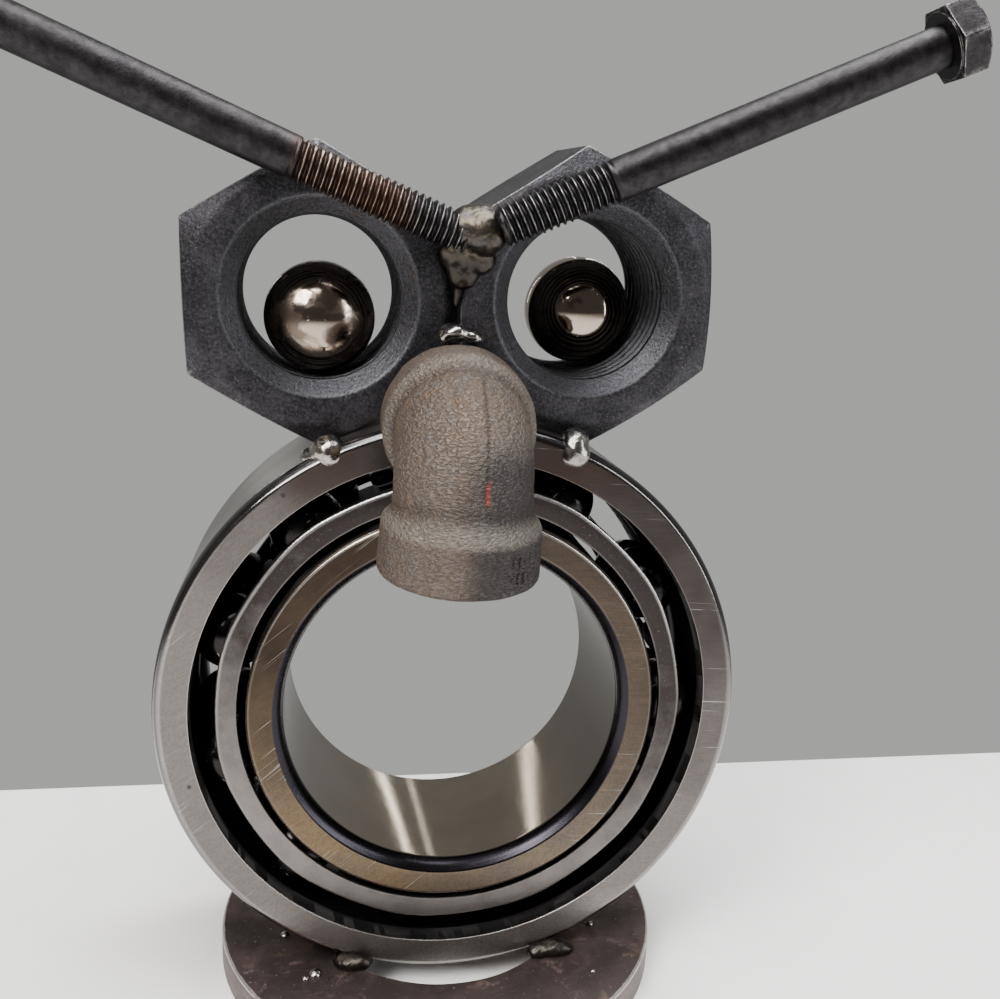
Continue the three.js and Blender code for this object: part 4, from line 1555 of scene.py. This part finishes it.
@dataclass
class Elbow:
    """The forged pipe elbow: one socket points down, the other back."""

    at: Point = (-2.735, -46.4, 133.4)
    tilt: float = 4.5
    yaw: float = -1.2
    roll: float = 2.1
    bend: float = 13.32
    slack: float = 0.2
    band_length: float = 10.96
    passage: float = 7.4
    body: float = 13.2
    band: float = 15.25
    flare: float = 0.25
    socket: float = 8.6
    mouth: float = 9.8
    shoulder: float = 2.2
    highest: float = 0.3
    ridge_at: float = -0.18
    ridge_height: float = 0.22
    groove_at: float = 0.22
    groove_depth: float = 0.26
    dents: tuple[tuple[float, float, int], ...] = ((0.09, 4.2, 11), (0.03, 1.5, 12))

    def place(self) -> Matrix:
        """Move from the elbow's own frame, whose sockets lie along -Z and +Y."""
        turn = rotation(self.roll, "Y") @ rotation(self.yaw, "Z") @ rotation(self.tilt, "X")
        return Matrix.Translation(self.at) @ turn

    def length(self) -> float:
        """Length of the middle line from mouth to mouth."""
        return 2 * (self.band_length - self.slack) + (self.bend + self.slack) * math.pi / 2

    def skin(self, run: Array, radius: Array, angle: Array) -> Array:
        """Points of a round section carried along the elbow's middle line.

        The line rises from the lower mouth, turns through a quarter circle and runs
        back. A point lies radius sin(angle) along X and radius cos(angle) along the
        outer side of the bend.

        Args:
            run: Distance along the middle line.
            radius: Radius of the section.
            angle: Angle round it, zero on the outer side of the bend.

        Returns:
            The points in the elbow's own frame.
        """
        c = self.bend + self.slack
        arm = self.band_length - self.slack
        t = np.clip((run - arm) / c, 0, math.pi / 2)
        below = np.minimum(run - arm, 0)
        behind = np.maximum(run - arm - c * math.pi / 2, 0)
        out_y, out_z = -np.cos(t), np.sin(t)
        y = c + c * out_y + behind + radius * np.cos(angle) * out_y
        z = -c + c * out_z + below + radius * np.cos(angle) * out_z
        return np.stack([radius * np.sin(angle) + 0 * y, y, z], axis=-1)

    def shell(self) -> Sheet:
        """The elbow's outside and passage as one closed sheet.

        A profile of radius over the run, from the lower mouth up the outside and
        back through the passage, is carried along the middle line. The outside's
        radius then gains waves and seams, up to the highest allowed.

        Returns:
            The sheet, marked with wear, paint, painted shade in the groove and the crease (as foot), and the
            shoulder, where a highlight is painted.
        """
        whole, arm, b = self.length(), self.band_length - self.slack, self.band
        bend = np.linspace(arm + self.shoulder + 0.6, whole - arm - self.shoulder - 0.6, 44)
        steady = np.stack([np.full_like(bend, self.body), bend], axis=-1)
        neck = arm + self.shoulder
        low = [(self.mouth, 0), (b + self.flare, 0), (b, arm - 0.2)]
        low += [(self.body, neck), (self.body, neck + 0.5)]
        high = [(r, whole - u) for r, u in low[::-1]]
        outside = rounded(low, [0, 1.5, 1.3, 1.6, 0]) + plain(steady)
        outside = outside + rounded(high, [0, 1.6, 1.3, 1.5, 0])
        hole = [(self.mouth, 0), (self.socket, 1.2), (self.socket, arm - 1.2)]
        hole += [(self.passage, arm), (self.passage, arm + 0.5)]
        back = [(r, whole - u) for r, u in hole]
        middle = np.linspace(whole - arm - 0.8, arm + 0.8, 24)
        channel = np.stack([np.full_like(middle, self.passage), middle], axis=-1)
        inside = rounded(back, [0, 0.3, 0.2, 0.2, 0]) + plain(channel)
        inside = inside + rounded(hole[::-1], [0, 0.2, 0.2, 0.3, 0])
        profile = outside + inside
        angle = around(288)
        radius, run = (profile.points[:, i][:, None] + 0 * angle for i in range(2))
        points = self.skin(run, radius, angle)
        skin_share = smooth(radius, self.mouth, self.mouth + 2)
        relief = uneven(points, self.dents) + self.seams(run, angle)
        points = self.skin(run, radius + np.minimum(relief * skin_share, self.highest), angle)
        wear = profile.wear[:, None] * skin_share
        paint = smooth(np.abs(angle - self.groove_at), 0.034, 0.012)
        paint = paint * smooth(run, 13.9, 14.4) * smooth(run, 16.5, 15.7)
        groove = self.line(angle, self.groove_at, 0.32) * self.groove_run(run)
        outer = radius > self.mouth + 2
        ends = np.minimum(run, whole - run)
        shoulder = smooth(ends, arm - 1.6, arm - 0.3) * smooth(ends, neck, arm + 0.7)
        # Painted shade in the crease beside each shoulder and along the groove.
        crease = smooth(ends, arm + 0.7, neck) * smooth(ends, neck + 1.6, neck)
        dirt_and_shade = np.maximum(groove * 0.9, crease * 0.5) * outer
        marks = {"wear": wear, "paint": paint * outer, "foot": dirt_and_shade, "shoulder": shoulder * outer}
        return Sheet(points, marks, True)

    def line(self, angle: Array, at: float, width: float) -> Array:
        """A line along the skin: exp(-(d / width)^2) for the distance d from it."""
        return np.exp(-(((angle - at) * self.body / width) ** 2))

    def groove_run(self, run: Array) -> Array:
        """1 where the groove runs and 0 beyond its ends."""
        return smooth(run, 12.6, 14.6) * smooth(run, 32.0, 27.0)

    def seams(self, run: Array, angle: Array) -> Array:
        """A faint forging ridge and a groove beside it.

        Args:
            run: Distance along the middle line.
            angle: Angle round the section.

        Returns:
            Height in millimetres.
        """
        turned = np.mod(angle + math.pi, TAU) - math.pi
        ridge = self.line(turned, self.ridge_at, 0.45) * smooth(run, 13.5, 16.0) * smooth(run, 34.0, 30.0)
        groove = self.line(turned, self.groove_at, 0.4) * self.groove_run(run)
        return self.ridge_height * ridge - self.groove_depth * groove

    def strokes(self) -> list[Sheet]:
        """Two short rows of raised strokes on the lower band, low rounded bars.

        Returns:
            One sheet for each stroke.
        """
        bars = []
        for row, run in enumerate((3.6, 6.6)):
            for step, turn in enumerate((0.58, 0.68, 0.78, 0.88)):
                bars.append(self.stroke(run, turn + 0.02 * row, 1.15 if (step + row) % 3 else 0.6))
        return bars

    def stroke(self, run: float, angle: float, half: float) -> Sheet:
        """One raised stroke: a half-sunk ellipsoid on the band.

        Args:
            run: Middle of the stroke along the elbow's line.
            angle: Its place round the band.
            half: Half of its length.

        Returns:
            The stroke's sheet in the elbow's own frame.
        """
        t = np.linspace(0, math.pi, 9)[:, None]
        a = around(14)[None]
        along = run + half * np.cos(t) + 0 * a
        side = angle + 0.42 / self.band * np.sin(t) * np.cos(a)
        radius = self.band + self.flare * (1 - run / self.band_length) + 0.30 * np.sin(t) * np.sin(a)
        # Painted shadow round the foot of each stroke.
        return Sheet(self.skin(along, radius, side), {"foot": 0.95 - 0.75 * np.abs(np.sin(t) * np.sin(a))})

    def build(self, maker: Maker) -> None:
        """Makes the elbow with its strokes."""
        sheets = [s.moved(self.place()) for s in [self.shell(), *self.strokes()]]
        maker.piece("beak_forging", sheets, ForgedIron().material(), "frame", ["beak_elbow"])


@dataclass
class Horn:
    """A long hexagon bolt laid from the crown outward, head at the far end."""

    side: Side
    start: Point
    end: Point
    thread: float
    turn: float
    flat_from: float = 0.0
    flat_to: float = 0.0
    radius: float = 4.3
    pitch: float = 1.5
    thread_depth: float = 0.78
    thread_flat: float = 0.14
    thread_flank: float = 0.74
    pressed_depth: float = 0.30
    head: float = 6.0
    head_flats: float = 14.3
    head_round: float = 0.4
    face_inset: float = 0.45
    washer_face: float = 0.45
    crown_sunk: float = 0.25

    def place(self) -> Matrix:
        """Move that lays the Y axis on the line from start to end.

        Returns:
            The move, with the bolt turned about its own axis first.
        """
        way = (Vector(self.end) - Vector(self.start)).normalized()
        aim = Vector((0, 1, 0)).rotation_difference(way).to_matrix().to_4x4()
        return Matrix.Translation(self.start) @ aim @ rotation(self.turn, "Y")

    def length(self) -> float:
        """Length from the tip to the underside of the head."""
        return (Vector(self.end) - Vector(self.start)).length

    def shank(self) -> Sheet:
        """Thread and shank: r = R - d (1 - v) over the thread, with v the thread form.

        The thread fades into the shank over its last turn. Crests on the upper side
        are pressed flat between flat_from and flat_to.

        Returns:
            The sheet, marked on the crests.
        """
        inside_head = self.length() + 0.6
        angles = around(72)
        rows = int(self.thread / self.pitch * 12)
        height = np.linspace(0.9, self.thread + 1, rows)
        height = np.concatenate([height, np.linspace(self.thread + 1.6, inside_head, 40)])
        vee = thread_form(height[:, None], angles, self.pitch, self.thread_flat, self.thread_flank)
        threaded = smooth(height, self.thread + 0.3, self.thread - 1.6) * smooth(height, 0.2, 1.6)
        threaded = threaded[:, None]
        radius = self.radius - self.thread_depth * (1 - vee) * threaded
        upper = smooth(np.cos(angles - math.radians(self.lift())), 0.72, 0.97)
        pressed = smooth(height, self.flat_from, self.flat_from + 2)
        pressed = (pressed * smooth(height, self.flat_to, self.flat_to - 2))[:, None] * upper
        if self.flat_to:
            radius = np.minimum(radius, self.radius - self.pressed_depth * pressed)
        tip = np.array([[0.0, 0.0], [self.radius - 1.2, 0.0], [self.radius - 0.9, 0.3]])
        end = np.array([[0.0, inside_head]])
        body = Profile(np.stack([radius, height[:, None] + 0 * radius], axis=-1), np.zeros(len(height)))
        whole = plain(tip, 0.5) + body + plain(end)
        crest = np.pad(vee * threaded + 0.25 * pressed, ((len(tip), len(end)), (0, 0)))
        return lathe(whole, angles, False, {"crest": np.clip(crest, 0, 1) ** 3}).moved(self.place())

    def lift(self) -> float:
        """Angle about the bolt's own axis, in degrees, that looks up in the room."""
        up = self.place().to_3x3().inverted() @ Vector((0, -0.35, 1))
        return math.degrees(math.atan2(up.x, up.z))

    def hexagon_head(self) -> Sheet:
        """The head: washer face, hexagon sides, a bevelled and slightly sunk crown.

        Returns:
            The sheet, worn on its edges.
        """
        angles = hexagon_angles(self.head_flats, self.head_round, 10)
        edge = hexagon(angles, self.head_flats, self.head_round)
        face = self.head_flats / 2 - self.face_inset
        under = self.length()
        washer, top = under - self.washer_face, under + self.head
        sunk = top - self.crown_sunk
        rows = [(0, washer), (face, washer), (face, under), (edge, under), (edge, top - (edge - face) * 0.55)]
        rows += [(face, top), (face * 0.72, top), (face * 0.62, sunk), (0, sunk)]
        section = rounded(spread(rows, edge), [0, 0.12, 0.08, 0.25, 0.25, 0.35, 0.3, 0.3, 0])
        upright = smooth(np.cos(6 * angles), 0.97, 1.0) * smooth(section.points[..., 0], face, face + 0.5)
        wear = np.maximum(section.wear[:, None], upright)
        return lathe(section, angles, False, {"wear": wear}).moved(self.place())

    def build(self, maker: Maker, oxide: bpy.types.Material) -> None:
        """Makes the bolt.

        Args:
            maker: Makes the piece.
            oxide: The bolt's material.
        """
        name = self.side.name.lower()
        sheets = [self.shank(), self.hexagon_head()]
        maker.piece(f"horn_{name}", sheets, oxide, "frame", [f"{name}_bolt"])


@dataclass
class WeldBead:
    """A weld bead: lumps melted into one another, with ripples on them."""

    name: str
    joint: Point
    lumps: list[tuple[float, float, float, float, float, float]]
    heat: float
    seed: int
    shade: float = 1.0
    dim: float = 0.0
    sharp: float = 3.2

    def sheet(self) -> Sheet:
        """The bead's skin as a distance along each direction from its middle.

        With q_i the distance of a point from lump i, in half sizes, the skin is the
        outermost point of each ray where the sum of exp(-k (q_i^2 - 1)) is 1.

        Returns:
            The sheet, marked with the run of the ripples and the dim foot.
        """
        lumps = np.array(self.lumps)
        centres, sizes = lumps[:, :3], lumps[:, 3:]
        weight = sizes.prod(axis=1)[:, None]
        middle = (centres * weight).sum(axis=0) / weight.sum()
        t = np.linspace(0, math.pi, 73)[:, None]
        a = around(96)[None]
        way = directions(t, a)
        reach = float(np.max(np.linalg.norm(centres - middle, axis=1) + sizes.max(axis=1))) * 1.15
        steps = np.linspace(reach, 0.2, 90)
        best = np.full(way.shape[:2], 0.2)
        found = np.zeros(way.shape[:2], bool)
        before = np.zeros(way.shape[:2])
        for i, step in enumerate(steps):
            q = ((middle + way[..., None, :] * step - centres) / sizes) ** 2
            filled = np.exp(np.clip(-self.sharp * (q.sum(axis=-1) - 1), -40, 40)).sum(axis=-1)
            share = np.clip((filled - 1) / np.maximum(filled - before, 1e-6), 0, 1)
            last = steps[max(i - 1, 0)]
            best = np.where(~found & (filled >= 1), step + (last - step) * share, best)
            found |= filled >= 1
            before = filled
        for _ in range(2):
            best = (best + (np.roll(best, 1, axis=1) + np.roll(best, -1, axis=1)) / 2) / 2
        best[0], best[-1] = best[0].mean(), best[-1].mean()
        points = middle + way * best[..., None]
        best = best + uneven(points, ((0.10, 2.2, self.seed), (0.02, 0.8, self.seed + 1)))
        best[0], best[-1] = best[0].mean(), best[-1].mean()
        points = middle + way * best[..., None] + np.array(self.joint)
        run = points[..., 2] * 0.8 + points[..., 0] * 0.5
        # The lower part of the bead is darker, by dim.
        low = smooth(points[..., 2], self.joint[2] + 7.5, self.joint[2] + 3.5)
        return Sheet(points, {"run": run, "foot": self.dim * low})

    def build(self, maker: Maker) -> None:
        """Makes the bead."""
        metal = WeldMetal(f"{self.name}_metal", self.heat, self.shade).material()
        maker.piece(f"{self.name}_bead", [self.sheet()], metal, "frame", [self.name])


@dataclass
class Spatter:
    """Droplets of weld metal thrown onto the washer, each a place and a radius."""

    spots: list[tuple[float, float, float, float]]

    def build(self, maker: Maker) -> None:
        """Makes the droplets, each a ball pressed to 0.7 of its height.

        Args:
            maker: Makes the piece.
        """
        press = Matrix.Diagonal((1, 1, 0.7, 1))
        sheets = [ball_sheet(r, 20, 11).moved(Matrix.Translation(at) @ press) for *at, r in self.spots]
        metal = WeldMetal("spatter_metal", 0.3).material()
        maker.piece("weld_spatter", sheets, metal, "frame", [])


@dataclass
class Studio:
    """Floor, soft lights and the camera."""

    bench: Bench
    eye: Point = (-28.02, -233.68, 167.60)
    pan: float = 9.61
    tilt: float = -12.97
    roll: float = 2.47
    lens: float = 37.54
    floor_behind: float = 82.0
    floor_reach: float = 1500.0
    backdrop: Colour = (0.425, 0.425, 0.415)
    room_front: Colour = (0.105, 0.095, 0.090)
    room_back: Colour = (0.34, 0.34, 0.33)
    floor_tone: Colour = (0.97, 0.955, 0.94)
    aim: Point = (0.0, 0.0, 110.0)

    def camera(self) -> None:
        """Places the camera, turned by its roll, then its tilt, then its pan."""
        data = bpy.data.cameras.new("view")
        data.lens, data.sensor_width = self.lens, 36.0
        data.clip_start, data.clip_end = 0.01, 20.0
        made = bpy.data.objects.new("view", data)
        turn = rotation(-self.pan, "Z") @ rotation(90 + self.tilt, "X") @ rotation(self.roll, "Z")
        made.matrix_world = Matrix.Translation(self.bench.metres(np.array(self.eye))) @ turn
        bpy.context.scene.collection.objects.link(made)
        bpy.context.scene.camera = made

    def light(self, name: str, at: Point, size: tuple[float, float], power: float, tone: Colour) -> None:
        """Adds a soft rectangular light aimed at the bearing.

        Args:
            name: Name of the light.
            at: Its place in workshop millimetres.
            size: Width and height in metres.
            power: Watts.
            tone: Its colour.
        """
        data = bpy.data.lights.new(name, "AREA")
        data.shape, (data.size, data.size_y) = "RECTANGLE", size
        data.energy, data.color = power, tone
        made = bpy.data.objects.new(name, data)
        place, target = (Vector(self.bench.metres(np.array(p))) for p in (at, self.aim))
        turn = (place - target).to_track_quat("Z", "Y")
        made.matrix_world = Matrix.Translation(place) @ turn.to_matrix().to_4x4()
        made.visible_camera = False
        bpy.context.scene.collection.objects.link(made)

    def sky(self) -> None:
        """A grey backdrop, and for the lighting a room that is dimmer in front."""
        s = Shader(bpy.data.worlds.new("room"))
        _, depth, _ = s.split(s.wire("ShaderNodeTexCoord", {}, {}, "Generated"))
        room = s.mix(s.step(depth, -0.35, 0.45), self.room_front, self.room_back)
        seen = s.wire("ShaderNodeLightPath", {}, {}, "Is Camera Ray")
        light = s.wire("ShaderNodeBackground", {}, {"Color": s.mix(seen, room, self.backdrop)})
        s.node("ShaderNodeOutputWorld", {}, {"Surface": light})
        bpy.context.scene.world = s.owner

    def floor(self) -> None:
        """A pale floor: z = 0 over a grid that ends a little way behind the owl."""
        x = np.linspace(-self.floor_reach, self.floor_reach, 9)
        y = np.linspace(-self.floor_reach, self.floor_behind, 9)
        points = np.stack(np.meshgrid(x, y, indexing="ij") + [np.zeros((9, 9))], axis=-1)
        points = self.bench.metres(points).reshape(-1, 3)
        grid = np.arange(81).reshape(9, 9)
        quads = np.stack([grid[:-1, :-1], grid[1:, :-1], grid[1:, 1:], grid[:-1, 1:]], axis=-1).reshape(-1, 4)
        data = bpy.data.meshes.new("floor")
        data.from_pydata(points.tolist(), [], quads.tolist())
        made = bpy.data.objects.new("floor", data)
        bpy.context.scene.collection.objects.link(made)
        data.materials.append(Plaster("pale_floor", self.floor_tone).material())

    def build(self) -> None:
        """Sets up the camera, the lights and the floor."""
        self.camera()
        self.sky()
        self.floor()
        self.light("key", (-420.0, -420.0, 640.0), (0.35, 0.35), 8.0, (1.0, 0.98, 0.95))
        self.light("top", (60.0, -60.0, 760.0), (0.8, 0.35), 11.5, (1.0, 1.0, 1.0))
        self.light("right", (520.0, -300.0, 300.0), (0.12, 0.5), 2.2, (0.96, 0.98, 1.0))
        strips = ((230.0, 322.0, 0.10), (150.0, 362.0, 0.03), (-262.0, 318.0, 0.10))
        for step, (x, z, power) in enumerate(strips):
            self.light(f"strip_{step}", (x, 620.0, z), (0.006, 0.30), power, (1.0, 0.98, 0.92))


def beads(bearing: Bearing, washer: Washer, bench: Bench) -> list[WeldBead]:
    """The weld beads, laid on the joints of the pieces.

    Args:
        bearing: The bearing.
        washer: The washer it stands on.
        bench: The workshop frame.

    Returns:
        The beads in order from the crown to the foot.
    """
    chord = math.sqrt(washer.hole**2 - bearing.half**2)
    front = -bearing.half
    crown = (-1.735, bearing.half - 34.2, bench.axis + bearing.outside + 27.5)

    def on_ring(x: float) -> Point:
        """Front rim of the bearing at a distance from its middle plane."""
        return (x, front, bench.axis + math.sqrt(bearing.outside**2 - x**2))

    crown_lumps = [
        (3.33, -4.25, 11.6, 6.6, 4.4, 4.9),
        (4.93, -6.65, 10.4, 3.6, 3.2, 3.9),
        (-0.87, -3.05, 7.2, 3.6, 3.2, 4.2),
        (0.93, -2.65, 2.8, 3.2, 2.6, 3.4),
        (3.93, -3.65, 5.4, 3.4, 2.6, 3.0),
        (-0.07, -1.35, -1.2, 1.0, 1.3, 3.6),
    ]
    beak = (-2.735, front, bench.axis + 79.35)
    beak_lumps = [
        (0.14, 2.25, 3.95, 3.2, 3.6, 1.9),
        (3.84, 2.65, 3.15, 2.6, 3.4, 1.7),
        (-1.86, 2.85, 2.75, 1.6, 2.8, 1.3),
    ]
    nut_left = [(1.85, 3.25, -0.04, 3.7, 4.1, 3.7), (-1.55, 4.85, -1.44, 2.6, 2.8, 2.0)]
    nut_right = [(-1.98, 3.25, 0.69, 3.1, 4.0, 3.7), (-2.38, 1.05, -1.31, 3.3, 2.2, 2.8)]
    foot_left = [(1.45, -1.75, 0.9, 3.9, 2.5, 1.9), (-1.75, -0.55, 0.9, 2.2, 2.3, 1.6)]
    foot_right = [(2.75, -1.55, 1.0, 4.9, 2.4, 2.0), (-1.05, -1.95, 0.6, 2.4, 2.0, 1.7)]
    on_top = washer.thickness
    return [
        WeldBead("weld_horns", crown, crown_lumps, 0.55, 21, 0.19, 0.93),
        WeldBead("weld_beak", beak, beak_lumps, 0.15, 31, 0.95),
        WeldBead("weld_nut_left", on_ring(-29.85), nut_left, 0.35, 41, 0.95),
        WeldBead("weld_nut_right", on_ring(26.38), nut_right, 0.2, 51, 0.7),
        WeldBead("weld_base_left", (-chord, front, on_top), foot_left, 0.5, 61, 0.14, 0.6),
        WeldBead("weld_base_right", (chord, front, on_top), foot_right, 0.4, 71, 0.14, 0.6),
    ]


def main() -> None:
    """Builds the owl in order and reports each piece."""
    logging.basicConfig(level=logging.INFO, format="%(name)s: %(message)s")
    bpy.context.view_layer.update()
    bench = Bench.from_part()
    maker = Maker(bench)
    LOG.info("washer centre %s, bearing axis %.3f", bench.origin.round(3), bench.axis)

    washer, bearing = Washer(), Bearing()
    washer.build(maker)
    bearing.build(maker)
    black = BlackOxide().material()
    eyes = [
        EyeNut(Side.LEFT, (-29.85, -13.21, 158.172), 1.13, 1.28, -1.49, 13.7, 0.0, haze=0.9),
        EyeNut(Side.RIGHT, (26.38, -15.05, 159.503), 2.96, 1.56, -3.1, 21.7, 35.0, haze=0.35),
    ]
    for eye in eyes:
        eye.build(maker, bearing, black)
    Elbow().build(maker)
    oxide = BoltOxide().material()
    horns = [
        Horn(Side.LEFT, (0.125, -17.32, 171.321), (-93.203, -21.999, 207.848), 38.0, 12.0, 20.0, 36.0),
        Horn(Side.RIGHT, (5.635, -20.87, 173.611), (92.909, -26.988, 212.765), 25.0, 4.0),
    ]
    for horn in horns:
        horn.build(maker, oxide)
    for bead in beads(bearing, washer, bench):
        bead.build(maker)
    drops = [(-37.7, -9.8, 8.1, 1.1), (36.5, -12.8, 8.1, 0.9), (-30.4, -24.6, 8.1, 1.5)]
    drops += [(-32.6, -25.9, 8.1, 0.8), (33.0, -30.0, 8.0, 0.6)]
    Spatter(drops).build(maker)
    Studio(bench).build()

    LOG.info("%d faces in all", maker.faces)


if __name__ == "__main__":
    main()
